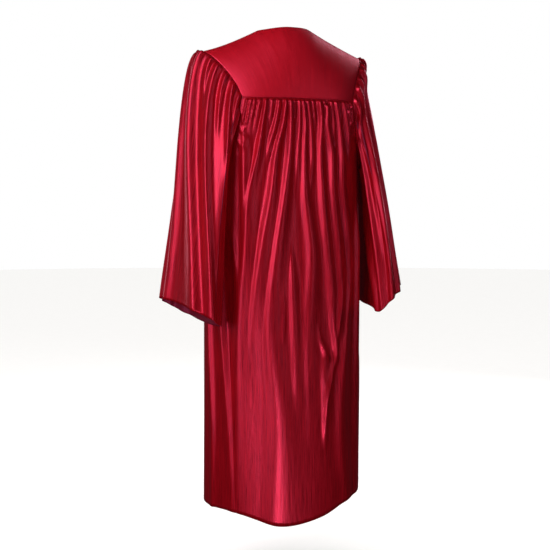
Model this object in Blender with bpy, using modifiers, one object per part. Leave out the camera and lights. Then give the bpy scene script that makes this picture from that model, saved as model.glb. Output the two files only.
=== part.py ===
# A graduation gown, filled out as it is when worn, with no wearer inside. Each piece of cloth that is cut and sewn
# is its own object: two front yokes and a back yoke, a gathered back, two pleated fronts, two bell sleeves and a zip.
# Metres, +Z up. The wearer faces -Y, so +X is the wearer's left. The origin lies between the neck points of the
# shoulder line, where the wearer carries the gown.

import math

import bmesh
import bpy
import numpy as np
from mathutils import Vector

for old in list(bpy.data.objects):
    bpy.data.objects.remove(old)

# Driving sizes
WALL = 0.0012  # thickness of the satin wall
SEAM_GAP = 0.0004  # between two pieces that are sewn together
SHOULDER_GAP = 0.0006  # the same between the yokes, whose walls lean together at the seam
YOKE_BACK_Z = -0.190  # seam between the back yoke and the gathered back
YOKE_FRONT_Z = -0.170  # seam between the front yokes and the fronts
UNDERARM_Z = -0.350
YOKE_BACK_ARC = 0.160  # half length of the back yoke's seam, from the centre back
YOKE_FRONT_ARC = 0.160  # length of a front yoke's seam, from the centre front

SHOULDER_LINE = (
    # x, y, height on the wearer's left, height on the wearer's right, from the neck point out to the sleeve
    (0.073, 0.012, -0.006, 0.001),
    (0.110, 0.008, -0.024, -0.016),
    (0.150, 0.005, -0.042, -0.033),
    (0.190, 0.002, -0.057, -0.049),
    (0.224, 0.000, -0.067, -0.062),
)
NECK_RIDGE = Vector((0.0, 0.017, 0.016))  # where the shoulder line would cross the centre, were there no neck
NECK_DROP = 0.195  # share of the yoke's height that the neck takes at the centre back
NECK_FRONT_Z = -0.135  # foot of the V, at the zip

FRONT_EDGE = 0.0036  # from the centre line to the folded edge of each front, beside the zip
ZIP_FOOT_SHARE = 0.84  # share of the fronts' length at which the zip ends
TAPE_EDGES = (0.0003, 0.0150)  # from the centre line
TAPE_THICKNESS = 0.0008
TAPE_LEAN = 0.065
COIL_HALF_WIDTH = 0.0022
COIL_THICKNESS = 0.0016
COIL_PROUD = 0.0004  # in front of the outer face of the fronts
SLIDER_SIZE = (0.0060, 0.0018, 0.0090)  # width, depth, height
SLIDER_PROUD = 0.0007  # its back face, in front of the outer face of the fronts
BAIL_SIZE = (0.0014, 0.0030, 0.0080)  # the loop on the slider that holds the pull
BAIL_WALL = 0.0010
PULL_SIZE = (0.0052, 0.0012, 0.0246)
PULL_WINDOW = (0.0024, 0.0043)  # the hole that the bail passes through
PULL_AXIS_Z = -0.1470

SATIN = (0.33, 0.008, 0.032, 1.0)
ZIP_CLOTH = (0.25, 0.006, 0.024, 1.0)
ZIP_METAL = (0.62, 0.60, 0.58, 1.0)


def smooth_curve(knots, values):
    """A curve through the values, with no corner at the knots."""
    knots = np.array(knots, float)
    values = np.array(values, float)
    slopes = np.gradient(values, knots)

    def read(x):
        x = np.clip(x, knots[0], knots[-1])
        i = np.clip(np.searchsorted(knots, x, side="right") - 1, 0, len(knots) - 2)
        step = knots[i + 1] - knots[i]
        t = (x - knots[i]) / step
        rise = (3 - 2 * t) * t * t
        start_slope = (t**3 - 2 * t * t + t) * step * slopes[i]
        end_slope = (t**3 - t * t) * step * slopes[i + 1]
        return values[i] * (1 - rise) + values[i + 1] * rise + start_slope + end_slope

    return read


def ease(x):
    """0 below 0, 1 above 1, and smooth between."""
    x = np.clip(x, 0.0, 1.0)
    return x * x * (3 - 2 * x)


def hermite(start, leave, end, arrive, t):
    """The point at t on a smooth line from start to end with those directions."""
    return (start * (2 * t**3 - 3 * t * t + 1) + leave * (t**3 - 2 * t * t + t)
            + end * (3 * t * t - 2 * t**3) + arrive * (t**3 - t * t))


def between(first, second, share):
    return first + (second - first) * share


# Body: a hollow column whose sections are squarish at the shoulder blades and rounder at the hem.
BODY_SECTIONS = (
    # height, half width, depth behind, depth in front, squareness
    (-1.300, 0.214, 0.183, 0.168, 2.15),
    (-1.000, 0.212, 0.170, 0.157, 2.20),
    (-0.750, 0.211, 0.158, 0.147, 2.30),
    (-0.450, 0.208, 0.143, 0.134, 2.60),
    (-0.300, 0.203, 0.135, 0.125, 2.90),
    (-0.190, 0.202, 0.133, 0.118, 3.20),
    (-0.150, 0.202, 0.130, 0.112, 3.20),
)
HALF_WIDTH, DEPTH_BEHIND, DEPTH_IN_FRONT, SQUARENESS = (
    smooth_curve([row[0] for row in BODY_SECTIONS], [row[column] for row in BODY_SECTIONS])
    for column in (1, 2, 3, 4)
)

HEM_LINE = (
    # way round from the centre back in half panels, + to the wearer's left; height of the hem
    (-2.0, -1.242),
    (-1.5, -1.228),
    (-1.0, -1.219),
    (-0.7, -1.226),
    (-0.4, -1.243),
    (-0.1, -1.274),
    (0.25, -1.286),
    (0.6, -1.256),
    (1.0, -1.255),
    (1.5, -1.256),
    (2.0, -1.242),
)
HEM_HEIGHT = smooth_curve(*zip(*HEM_LINE))

SECTION_POINTS = 240


def body_ring(z):
    """x, y and arc length of the body's left half at one height, from centre back to centre front."""
    angle = np.linspace(math.pi / 2, -math.pi / 2, SECTION_POINTS)
    power = float(SQUARENESS(z))
    depth = np.where(angle >= 0, float(DEPTH_BEHIND(z)), float(DEPTH_IN_FRONT(z)))
    across = np.abs(np.cos(angle)) / float(HALF_WIDTH(z))
    along = np.abs(np.sin(angle)) / depth
    reach = (across**power + along**power) ** (-1 / power)
    x = reach * np.cos(angle)
    y = reach * np.sin(angle)
    arc = np.concatenate([[0.0], np.cumsum(np.hypot(np.diff(x), np.diff(y)))])
    return x, y, arc


def side_arc(z):
    """Arc length from the centre back to the side seam."""
    x, y, arc = body_ring(z)
    return float(np.interp(0.0, -y, arc))


def body_surface(arc, z, out=0.0):
    """The point of the smooth body at that arc length from the centre back, + to the wearer's left, moved out."""
    x, y, arcs = body_ring(z)
    side = 1.0 if arc >= 0 else -1.0
    reach = min(abs(arc), arcs[-1])
    tangent = Vector((np.interp(reach + 0.001, arcs, x) - np.interp(reach - 0.001, arcs, x),
                      np.interp(reach + 0.001, arcs, y) - np.interp(reach - 0.001, arcs, y)))
    tangent.normalize()
    px = np.interp(reach, arcs, x) - tangent.y * out
    py = np.interp(reach, arcs, y) + tangent.x * out
    return Vector((side * px, py, z))


# Folds of the body. Each row follows one ridge of cloth down from its seam: where it lies around the body, in
# millimetres from the centre back (+ to the wearer's left), at each of the heights below.
FOLD_HEIGHTS = (-0.19, -0.25, -0.32, -0.43, -0.58, -0.78, -1.02, -1.27)
BACK_FOLDS = (
    # place in mm from the centre back at each fold height; start, end; half width at the top, at -0.43 and at the
    # foot in mm; rise in mm
    ((160, 158, 156, 157, 162, 172, 180, 186), -0.215, -0.66, 15, 11, 16, 13.0),
    ((148, 158, 166, 166, 166, 166, 166, 166), -0.190, -0.29, 4.4, 5, 5, 7.0),
    ((139, 147, 152, 152, 152, 152, 152, 152), -0.190, -0.30, 4.4, 6, 6, 8.0),
    ((128, 139, 150, 150, 150, 150, 150, 150), -0.190, -0.31, 4.4, 8, 8, 9.0),
    ((116, 126, 137, 140, 140, 140, 140, 140), -0.190, -0.30, 4.4, 8, 8, 8.0),
    ((101, 110, 120, 144, 156, 175, 182, 188), -0.190, -1.27, 5.0, 12, 26, 14.0),
    ((84, 90, 100, 108, 108, 108, 108, 108), -0.190, -0.27, 4.2, 5, 5, 7.0),
    ((66, 76, 93, 102, 106, 106, 106, 106), -0.190, -0.38, 4.6, 10, 10, 11.0),
    ((49, 57, 74, 89, 116, 142, 152, 156), -0.190, -1.10, 5.0, 13, 26, 14.0),
    ((38, 37, 40, 55, 79, 99, 80, 90), -0.190, -1.27, 5.2, 13, 34, 15.0),
    ((24, 24, 27, 30, 30, 30, 30, 30), -0.190, -0.27, 4.2, 6, 6, 9.0),
    ((12, 11, 16, 19, 12, 12, 12, 12), -0.190, -0.50, 4.8, 10, 10, 11.0),
    ((3, -3, -1, 0, -15, -4, -6, -6), -0.190, -1.15, 4.8, 13, 26, 14.0),
    ((-11, -19, -23, -17, -14, -14, -14, -14), -0.190, -0.52, 4.8, 10, 10, 11.0),
    ((-27, -33, -36, -36, -36, -36, -36, -36), -0.190, -0.30, 4.4, 7, 7, 8.0),
    ((-44, -50, -46, -50, -62, -88, -94, -94), -0.190, -1.05, 5.0, 12, 24, 14.0),
    ((-59, -70, -84, -90, -90, -90, -90, -90), -0.190, -0.28, 4.4, 6, 6, 9.0),
    ((-68, -66, -79, -82, -97, -106, -112, -112), -0.190, -1.15, 5.0, 12, 24, 14.0),
    ((-80, -88, -92, -102, -106, -106, -106, -106), -0.190, -0.42, 4.6, 8, 8, 9.0),
    ((-92, -103, -112, -114, -138, -150, -150, -150), -0.190, -0.84, 4.8, 12, 20, 13.0),
    ((-105, -114, -122, -128, -128, -128, -128, -128), -0.190, -0.27, 4.2, 5, 5, 7.0),
    ((-117, -132, -146, -152, -156, -156, -156, -156), -0.190, -0.36, 4.6, 9, 9, 10.0),
    ((-131, -146, -156, -160, -160, -160, -160, -160), -0.190, -0.29, 4.4, 6, 6, 8.0),
    ((-147, -156, -160, -160, -160, -160, -160, -160), -0.190, -0.27, 4.2, 5, 5, 7.0),
    ((30, 30, 30, 30, 38, 36, 30, 30), -0.520, -1.10, 8, 8, 24, 10.0),
    ((-60, -60, -60, -60, -60, -47, -56, -56), -0.760, -1.12, 14, 14, 20, 8.0),
    ((-130, -130, -130, -140, -148, -136, -108, -112), -0.560, -1.27, 14, 14, 30, 11.0),
    ((-182, -182, -184, -186, -184, -180, -176, -174), -0.420, -1.27, 14, 14, 24, 12.0),
    ((210, 212, 218, 226, 232, 232, 212, 202), -0.440, -1.27, 12, 12, 20, 12.0),
    ((268, 268, 268, 270, 272, 276, 280, 284), -0.740, -1.27, 12, 12, 18, 8.0),
    ((-242, -242, -242, -244, -248, -252, -256, -260), -0.740, -1.27, 14, 14, 24, 8.0),
)

# The fronts hang in long pressed pleats, the same on each side.
FRONT_PLEATS = 9
FRONT_PLEAT_FIRST = 0.018  # from the centre front to the first pleat, at the yoke
FRONT_PLEAT_PITCH = 0.0160  # at the yoke
FRONT_PLEAT_SPREAD = 1.55  # how far the pleats have moved apart at the hem
FRONT_PLEAT_WIDTH = (5.0, 7.0, 12.0)  # half width at the top, at the chest and at the hem, in mm
FRONT_PLEAT_ENDS = (-1.27, -0.62, -1.27, -0.86, -1.27, -0.70, -1.27, -0.78, -1.10)
FRONT_PLEAT_RISE = (11.0, 11.0, 12.0, 11.0, 12.0, 11.0, 12.0, 11.0, 11.0)


def pleat_rows():
    """The front pleats in the same form as the folds of the back, for both sides."""
    rows = []
    for side in (1, -1):
        for number in range(FRONT_PLEATS):
            from_front = FRONT_PLEAT_FIRST + FRONT_PLEAT_PITCH * number
            places = []
            for height in FOLD_HEIGHTS:
                drop = (height - YOKE_FRONT_Z) / (FOLD_HEIGHTS[-1] - YOKE_FRONT_Z)
                half_round = float(body_ring(height)[2][-1])
                spread = 1 + (FRONT_PLEAT_SPREAD - 1) * ease(drop)
                places.append(1000 * side * (half_round - from_front * spread))
            rows.append((tuple(places), YOKE_FRONT_Z, FRONT_PLEAT_ENDS[number], *FRONT_PLEAT_WIDTH,
                         FRONT_PLEAT_RISE[number]))
    return rows


STEEP_SIDE = 0.80  # of its half width, on the wearer's left of a fold
GENTLE_SIDE = 1.50


class Fold:
    """One ridge of cloth that runs down the body; it swells at once from a gathered seam, and slowly elsewhere."""

    def __init__(self, places, start, end, top_width, middle_width, foot_width, rise):
        order = slice(None, None, -1)
        self.path = smooth_curve(FOLD_HEIGHTS[order], [place / 1000 for place in places[order]])
        self.width = smooth_curve((-1.27, -0.43, -0.19), (foot_width / 1000, middle_width / 1000, top_width / 1000))
        self.start = start
        self.end = end
        self.rise = rise / 1000

    def lift(self, arc, z):
        down = (self.start - z) / (self.start - self.end)
        runs_out = self.end > -1.25
        if down < 0 or (down > 1 and runs_out):
            return 0.0
        sewn = self.start > -0.21
        swell = ease((self.start - z) / (0.022 if sewn else 0.160))
        width = float(self.width(z))
        if not sewn:
            width *= 0.25 + 0.75 * ease((self.start - z) / 0.160)
        fade = 1.0 - ease((down - 0.40) / 0.60) if runs_out else 1.0 - 0.6 * ease((down - 0.35) / 0.65)
        apart = arc - float(self.path(z))
        width *= STEEP_SIDE if apart > 0 else GENTLE_SIDE
        return self.rise * swell * fade * math.exp(-((apart / width) ** 2))


def highest(lifts):
    """Neighbouring folds meet in a valley, so the cloth follows the highest of them there."""
    return sum(lift**3 for lift in lifts) ** (1 / 3)


BODY_FOLDS = [Fold(*row) for row in (*BACK_FOLDS, *pleat_rows())]
FLAT_FRONT = 0.012  # the cloth lies flat this far each side of the zip


def body_point(arc, z, seam_z):
    """A point of the body's outer face: the smooth body raised by its folds, which start at the seam above."""
    half_round = float(body_ring(z)[2][-1])
    from_zip = half_round - abs(arc) - FRONT_EDGE
    calm = ease((seam_z - z) / 0.012) * ease(from_zip / FLAT_FRONT)
    lift = highest([fold.lift(arc, z) for fold in BODY_FOLDS]) if calm > 0 else 0.0
    return body_surface(arc, z, calm * lift)


# Armholes: how far from the yoke's corner to the side seam, and the height of the armhole there
ARMHOLE_BACK = ((0.0, YOKE_BACK_Z), (0.10, -0.236), (0.26, -0.300), (0.52, -0.338), (1.0, UNDERARM_Z))
ARMHOLE_FRONT = ((0.0, YOKE_FRONT_Z), (0.10, -0.222), (0.28, -0.292), (0.55, -0.334), (1.0, UNDERARM_Z))
ARMHOLE_BACK_HEIGHT = smooth_curve(*zip(*ARMHOLE_BACK))
ARMHOLE_FRONT_HEIGHT = smooth_curve(*zip(*ARMHOLE_FRONT))


def back_top(share):
    """Height of the back's top edge; share runs from 0 at the centre back to 1 at the side seam."""
    corner = YOKE_BACK_ARC / side_arc(YOKE_BACK_Z)
    if share <= corner:
        return YOKE_BACK_Z
    return float(ARMHOLE_BACK_HEIGHT((share - corner) / (1 - corner)))


def front_corner_share():
    x, y, arc = body_ring(YOKE_FRONT_Z)
    seam = side_arc(YOKE_FRONT_Z)
    return (float(arc[-1]) - YOKE_FRONT_ARC - seam) / (float(arc[-1]) - seam)


def front_top(share):
    """Height of a front's top edge; share runs from 0 at the side seam to 1 at the centre front."""
    corner = front_corner_share()
    if share >= corner:
        return YOKE_FRONT_Z
    return float(ARMHOLE_FRONT_HEIGHT((corner - share) / corner))


# How far down a panel its rows of points lie, closest together in the gathers
ROW_DROPS = (0.0, 0.010, 0.026, 0.052, 0.090, 0.145, 0.220, 0.320, 0.450, 0.600, ZIP_FOOT_SHARE, 0.865, 1.0)


def front_edge(drop):
    """From the centre line to a front's edge: beside the zip, and closed to a seam below it."""
    return between(FRONT_EDGE, SEAM_GAP / 2, ease((drop - ZIP_FOOT_SHARE) / 0.02))


def material(name, colour, roughness, metallic):
    made = bpy.data.materials.new(name)
    made.use_nodes = True
    shader = made.node_tree.nodes["Principled BSDF"]
    shader.inputs["Base Color"].default_value = colour
    shader.inputs["Roughness"].default_value = roughness
    shader.inputs["Metallic"].default_value = metallic
    return made


def cloth_panel(name, columns, rows, place, finish, wall=WALL, closed=False):
    """A sheet laid out as a grid, carried to its shape by place(column, row), and given its wall on the inside."""
    mesh = bpy.data.meshes.new(name)
    sheet = bmesh.new()
    bmesh.ops.create_grid(sheet, x_segments=columns, y_segments=rows, size=0.5)
    for point in sheet.verts:
        column = round((point.co.x + 0.5) * columns)
        row = round((point.co.y + 0.5) * rows)
        point.co = place(column, row)
    if closed:
        bmesh.ops.remove_doubles(sheet, verts=sheet.verts, dist=0.00002)
    sheet.to_mesh(mesh)
    sheet.free()
    mesh.shade_smooth()
    panel = bpy.data.objects.new(name, mesh)
    PARTS.objects.link(panel)
    thickness = panel.modifiers.new("Wall", "SOLIDIFY")
    thickness.thickness = wall
    thickness.offset = -1.0
    panel.data.materials.append(finish)
    return panel


def split_between(places):
    """The places themselves, with three more between each pair, so that each fold gets its crest and its valley."""
    steps = [between(first, second, part / 4) for first, second in zip(places, places[1:]) for part in range(4)]
    return np.array(steps + [places[-1]])


def back_panel(finish):
    """The gathered back, from side seam to side seam."""
    corner = YOKE_BACK_ARC / side_arc(YOKE_BACK_Z)
    hole = np.linspace(1.0, corner, ARMHOLE_COLUMNS + 1)
    reach = side_arc(YOKE_BACK_Z)
    gathers = sorted(row[0][0] / 1000 / reach for row in BACK_FOLDS if row[1] > YOKE_BACK_Z - 0.001)
    seam = split_between([-corner, *gathers, corner])[::-1]
    shares = np.concatenate([hole[:-1], seam, -hole[::-1][1:]])

    def place(column, row):
        share = float(shares[column])
        top = back_top(abs(share)) - SEAM_GAP
        drop = ROW_DROPS[len(ROW_DROPS) - 1 - row]
        z = top + (float(HEM_HEIGHT(share)) - top) * drop
        reach = side_arc(z) - SEAM_GAP / 2
        return body_point(share * reach, z, top)

    return cloth_panel("back", len(shares) - 1, len(ROW_DROPS) - 1, place, finish)


def front_panel(name, side, finish):
    """One pleated front, from the side seam to the folded edge beside the zip."""
    corner = front_corner_share()
    whole = float(body_ring(YOKE_FRONT_Z)[2][-1]) - side_arc(YOKE_FRONT_Z)
    pleats = [1 - (FRONT_PLEAT_FIRST + FRONT_PLEAT_PITCH * number) / whole for number in range(FRONT_PLEATS)]
    seam = split_between([corner, *pleats[::-1], 1.0])
    shares = np.concatenate([np.linspace(0.0, corner, FRONT_HOLE_COLUMNS + 1)[:-1], seam])
    if side > 0:
        shares = shares[::-1]

    def place(column, row):
        share = float(shares[column])
        top = front_top(share) - SEAM_GAP
        drop = ROW_DROPS[len(ROW_DROPS) - 1 - row]
        z = top + (float(HEM_HEIGHT(side * (1 + share))) - top) * drop
        start = side_arc(z) + SEAM_GAP / 2
        end = float(body_ring(z)[2][-1]) - front_edge(drop)
        return body_point(side * (start + (end - start) * share), z, top)

    return cloth_panel(name, len(shares) - 1, len(ROW_DROPS) - 1, place, finish)


NECK_SHARE_BACK = 0.073 / 0.224  # share of the back yoke's half width that the neck takes
NECK_COLUMNS = 4 / 11  # share of the back yoke's columns that run to the neck
NECK_SHARE_FRONT = 0.50  # share of a front yoke's top edge that lies on the shoulder


def shoulder_point(share, side):
    """The shoulder line from 0 at the neck point to 1 at the sleeve, kept on the wearer's left."""
    reach = between(SHOULDER_LINE[0][0], SHOULDER_LINE[-1][0], share)
    height = 2 if side > 0 else 3
    knots = [row[0] for row in SHOULDER_LINE]
    y = smooth_curve(knots, [row[1] for row in SHOULDER_LINE])(reach)
    z = smooth_curve(knots, [row[height] for row in SHOULDER_LINE])(reach)
    return Vector((reach, float(y), float(z)))


def back_yoke_point(across, down):
    """across runs from -1 at the right armhole to 1 at the left one, down from 0 at the top to 1 at the seam."""
    side = 1.0 if across >= 0 else -1.0
    reach = abs(across)
    cut = 0.0
    if reach < NECK_SHARE_BACK:
        inward = 1 - reach / NECK_SHARE_BACK
        top = hermite(shoulder_point(0.0, side), Vector((-0.073, 0.008, 0.035)), NECK_RIDGE,
                      Vector((-0.073, 0.0, 0.0)), inward)
        cut = NECK_DROP * math.sqrt(1 - (reach / NECK_SHARE_BACK) ** 2)
    else:
        top = shoulder_point((reach - NECK_SHARE_BACK) / (1 - NECK_SHARE_BACK), side)
    foot = body_surface(reach * YOKE_BACK_ARC, YOKE_BACK_Z)
    length = (foot - top).length
    leave = Vector((0.0, 0.95, -0.04)) * length
    arrive = between(Vector((0.0, 0.04, -1.0)), Vector((-0.22, 0.28, -0.93)), reach**3) * length
    point = hermite(top, leave, foot, arrive, between(cut, 1.0, down))
    return Vector((side * point.x, point.y, point.z))


CENTRE_FRONT_Y = -float(DEPTH_IN_FRONT(YOKE_FRONT_Z))


def front_yoke_point(along, down, side):
    """A front yoke, on the wearer's left. along runs from 0 at the sleeve, over the neck point, to 1 at the zip."""
    level = 1 - ease((along - NECK_SHARE_FRONT) / 0.15)
    if along < NECK_SHARE_FRONT:
        top = shoulder_point(1 - along / NECK_SHARE_FRONT, side)
    else:
        slide = (along - NECK_SHARE_FRONT) / (1 - NECK_SHARE_FRONT)
        foot_of_v = Vector((FRONT_EDGE, CENTRE_FRONT_Y, NECK_FRONT_Z))
        top = hermite(shoulder_point(0.0, side), Vector((-0.006, -0.125, -0.030)), foot_of_v,
                      Vector((-0.095, 0.012, -0.150)), slide)
    x, y, arcs = body_ring(YOKE_FRONT_Z)
    foot_arc = float(arcs[-1]) - YOKE_FRONT_ARC + (YOKE_FRONT_ARC - FRONT_EDGE) * along
    foot = body_surface(foot_arc, YOKE_FRONT_Z)
    length = (foot - top).length
    beside_neck = between(Vector((0.0, -0.45, -0.90)), Vector((0.0, 0.0, -1.0)), ease((along - 0.7) / 0.3))
    leave = between(beside_neck, Vector((0.0, -0.95, -0.04)), level) * length
    arrive = between(Vector((-0.18, -0.22, -0.95)), Vector((0.0, 0.0, -1.0)), ease(along * 1.3)) * length
    return hermite(top, leave, foot, arrive, down)


def back_yoke(finish):
    """The smooth yoke over the shoulder blades, from armhole to armhole."""

    def place(column, row):
        along = 1 - 2 * column / BACK_YOKE_COLUMNS
        round_neck = NECK_SHARE_BACK * math.sin(min(abs(along) / NECK_COLUMNS, 1.0) * math.pi / 2)
        on_shoulder = max(abs(along) - NECK_COLUMNS, 0.0) / (1 - NECK_COLUMNS) * (1 - NECK_SHARE_BACK)
        across = math.copysign(round_neck + on_shoulder, along)
        down = YOKE_DOWNS[len(YOKE_DOWNS) - 1 - row]
        point = back_yoke_point(across, down)
        if down == 0 and abs(along) >= NECK_COLUMNS - 0.0001:
            point.y += SHOULDER_GAP / 2
        return point

    return cloth_panel("back_yoke", BACK_YOKE_COLUMNS, len(YOKE_DOWNS) - 1, place, finish)


def front_yoke(name, side, finish):
    """One front yoke, from the shoulder seam to the zip, with its half of the V neck."""

    def place(column, row):
        along = column / FRONT_YOKE_COLUMNS
        if side > 0:
            along = 1 - along
        down = YOKE_DOWNS[len(YOKE_DOWNS) - 1 - row]
        point = front_yoke_point(along, down, side)
        if down == 0 and along <= NECK_SHARE_FRONT:
            point.y -= SHOULDER_GAP / 2
        return Vector((side * point.x, point.y, point.z))

    return cloth_panel(name, FRONT_YOKE_COLUMNS, len(YOKE_DOWNS) - 1, place, finish)


# Sleeves: wide bells that hang from the armhole. The cuff is an oval, its long way front to back, and its plane
# rises towards the outside of the arm.
CUFF_CENTRE = Vector((0.274, 0.040, -0.7375))
CUFF_HALF_WIDTH = 0.050
CUFF_HALF_DEPTH = 0.120
CUFF_YAW = math.radians(11)
CUFF_RISE_OUT = 0.60
CUFF_RISE_BACK = -0.12
SLEEVE_HANG = (
    # share of the way down the sleeve, how far the left sleeve hangs in, how far the right one does, and how far back
    (0.00, 0.000, 0.000, 0.000),
    (0.08, -0.002, 0.002, -0.004),
    (0.20, -0.006, -0.015, -0.010),
    (0.45, -0.013, -0.023, -0.010),
    (0.70, -0.011, -0.018, -0.002),
    (1.00, 0.000, -0.004, 0.000),
)
HANG_IN_LEFT, HANG_IN_RIGHT, HANG_BACK = (
    smooth_curve([row[0] for row in SLEEVE_HANG], [row[column] for row in SLEEVE_HANG]) for column in (1, 2, 3)
)
RIGHT_CUFF_RAISED = 0.038
RIGHT_CUFF_DROOP = (0.165, 0.060, 0.021)  # turn at its middle, half width in turns, how far it falls
ARMHOLE_SAMPLES = 60


def armhole_loop(side):
    """Two lines of points, kept on the wearer's left, from the underarm to the shoulder: up the back, up the front."""
    steps = np.linspace(0.0, 1.0, ARMHOLE_SAMPLES)
    corner = YOKE_BACK_ARC / side_arc(YOKE_BACK_Z)
    back = []
    for step in steps:
        share = between(1.0, corner, step)
        z = back_top(share)
        back.append(body_surface(share * side_arc(z), z))
    for step in steps[1:]:
        point = back_yoke_point(side * 1.0, float(1 - step))
        back.append(Vector((side * point.x, point.y, point.z)))
    front_share = front_corner_share()
    front = []
    for step in steps:
        share = float(step) * front_share
        z = front_top(share)
        start = side_arc(z)
        front.append(body_surface(start + (float(body_ring(z)[2][-1]) - start) * share, z))
    front += [front_yoke_point(0.0, float(1 - step), side) for step in steps[1:]]
    return back, front


def even_line(points):
    """Reads a line of points by its share of arc length."""
    steps = [(second - first).length for first, second in zip(points, points[1:])]
    arc = np.concatenate([[0.0], np.cumsum(steps)]) / sum(steps)

    def read(share):
        return Vector([float(np.interp(share, arc, [point[axis] for point in points])) for axis in range(3)])

    return read


ARMHOLE_EDGES = {side: [even_line(line) for line in armhole_loop(side)] for side in (1, -1)}


def armhole_point(turn, side):
    """turn runs from 0 at the underarm, up the back to 0.5 at the shoulder, and down the front to 1."""
    up_back, up_front = ARMHOLE_EDGES[side]
    if turn <= 0.5:
        return up_back(turn * 2)
    return up_front((1 - turn) * 2)


def cuff_point(turn, side):
    angle = 2 * math.pi * turn
    across = -CUFF_HALF_WIDTH * math.cos(angle)
    along = CUFF_HALF_DEPTH * math.sin(angle)
    x = across * math.cos(CUFF_YAW) - along * math.sin(CUFF_YAW)
    y = across * math.sin(CUFF_YAW) + along * math.cos(CUFF_YAW)
    z = CUFF_RISE_OUT * across + CUFF_RISE_BACK * along
    if side < 0:
        middle, half_width, fall = RIGHT_CUFF_DROOP
        z += RIGHT_CUFF_RAISED - fall * math.exp(-(((turn - middle) / half_width) ** 2))
    return CUFF_CENTRE + Vector((x, y, z))


def sleeve_surface(turn, down, side):
    """The smooth sleeve, kept on the wearer's left; down runs from 0 at the armhole to 1 at the cuff."""
    start = armhole_point(turn, side)
    end = cuff_point(turn, side)
    top = math.sin(math.pi * turn) ** 2  # 1 at the shoulder tip, 0 at the underarm
    fore = math.sin(2 * math.pi * turn)  # 1 at the back, -1 at the front
    length = (end - start).length
    leave_under = Vector((0.10, 0.0, -0.20))
    leave_top = Vector((0.150, 0.0, -0.030))
    leave = between(leave_under, leave_top, top) + Vector((0.02, 0.06 * fore, -0.10)) * abs(fore)
    arrive = between(Vector((0.010, 0.02, -0.90)), Vector((0.085, 0.02, -0.90)), top) * length
    hang_in = HANG_IN_LEFT if side > 0 else HANG_IN_RIGHT
    hang = Vector((float(hang_in(down)), float(HANG_BACK(down)), 0.0)) * top
    return hermite(start, leave, end, arrive, down) + hang


FRONT_OF_SLEEVE = (
    # turn at the armhole, at the elbow and at the cuff; start, end; half width top and foot in mm; height in mm
    (0.545, 0.570, 0.580, 0.00, 0.30, 4.5, 8, 9.0),
    (0.590, 0.615, 0.630, 0.00, 1.00, 5.0, 17, 13.0),
    (0.625, 0.650, 0.670, 0.00, 0.20, 4.0, 6, 8.0),
    (0.670, 0.710, 0.720, 0.00, 1.00, 5.0, 18, 13.0),
    (0.710, 0.740, 0.740, 0.00, 0.24, 4.5, 7, 9.0),
    (0.750, 0.800, 0.810, 0.02, 1.00, 5.0, 17, 12.0),
    (0.800, 0.840, 0.840, 0.03, 0.40, 5.0, 9, 9.0),
    (0.860, 0.880, 0.900, 0.05, 1.00, 7.0, 18, 9.0),
)
SLEEVE_FOLDS = {
    1: (
        (0.100, 0.090, 0.080, 0.08, 1.00, 7.0, 18, 10.0),
        (0.190, 0.170, 0.150, 0.03, 1.00, 5.0, 17, 13.0),
        (0.240, 0.220, 0.210, 0.02, 0.34, 5.0, 9, 10.0),
        (0.285, 0.270, 0.260, 0.00, 0.22, 4.5, 7, 9.0),
        (0.325, 0.275, 0.255, 0.00, 0.50, 4.5, 11, 12.0),
        (0.358, 0.350, 0.340, 0.00, 0.20, 4.0, 6, 8.0),
        (0.395, 0.385, 0.265, 0.00, 1.00, 5.0, 20, 18.0),
        (0.428, 0.420, 0.410, 0.00, 0.17, 4.0, 6, 8.0),
        (0.470, 0.470, 0.375, 0.00, 1.00, 5.0, 22, 20.0),
        (0.500, 0.500, 0.500, 0.00, 0.20, 4.0, 6, 8.0),
        (0.530, 0.535, 0.540, 0.00, 1.00, 4.5, 20, 20.0),
        *FRONT_OF_SLEEVE,
    ),
    -1: (
        (0.100, 0.065, 0.140, 0.10, 1.00, 6.0, 16, 11.0),
        (0.180, 0.170, 0.180, 0.05, 1.00, 5.0, 14, 13.0),
        (0.235, 0.225, 0.215, 0.02, 0.34, 5.0, 9, 9.0),
        (0.280, 0.270, 0.260, 0.00, 0.24, 4.5, 7, 9.0),
        (0.325, 0.300, 0.255, 0.00, 1.00, 5.0, 17, 17.0),
        (0.360, 0.345, 0.340, 0.00, 0.20, 4.0, 6, 8.0),
        (0.400, 0.385, 0.340, 0.00, 1.00, 5.0, 16, 15.0),
        (0.432, 0.420, 0.410, 0.00, 0.18, 4.0, 6, 8.0),
        (0.465, 0.460, 0.420, 0.00, 1.00, 5.0, 18, 14.0),
        (0.492, 0.480, 0.480, 0.00, 0.22, 4.0, 6, 8.0),
        (0.530, 0.530, 0.520, 0.00, 1.00, 4.5, 18, 13.0),
        *FRONT_OF_SLEEVE,
    ),
}
SLEEVE_SINK = 0.003
STEEP_FLANK = 0.75
GENTLE_FLANK = 1.35
SLEEVE_DOWNS = (0.0, 0.02, 0.05, 0.10, 0.17, 0.26, 0.37, 0.50, 0.64, 0.82, 1.0)


def sleeve_normal(turn, down, side):
    step = 0.004
    along = sleeve_surface((turn + step) % 1.0, down, side) - sleeve_surface((turn - step) % 1.0, down, side)
    lower = sleeve_surface(turn, min(1.0, down + step), side)
    fall = lower - sleeve_surface(turn, max(0.0, down - step), side)
    return along.cross(fall).normalized()


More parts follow.
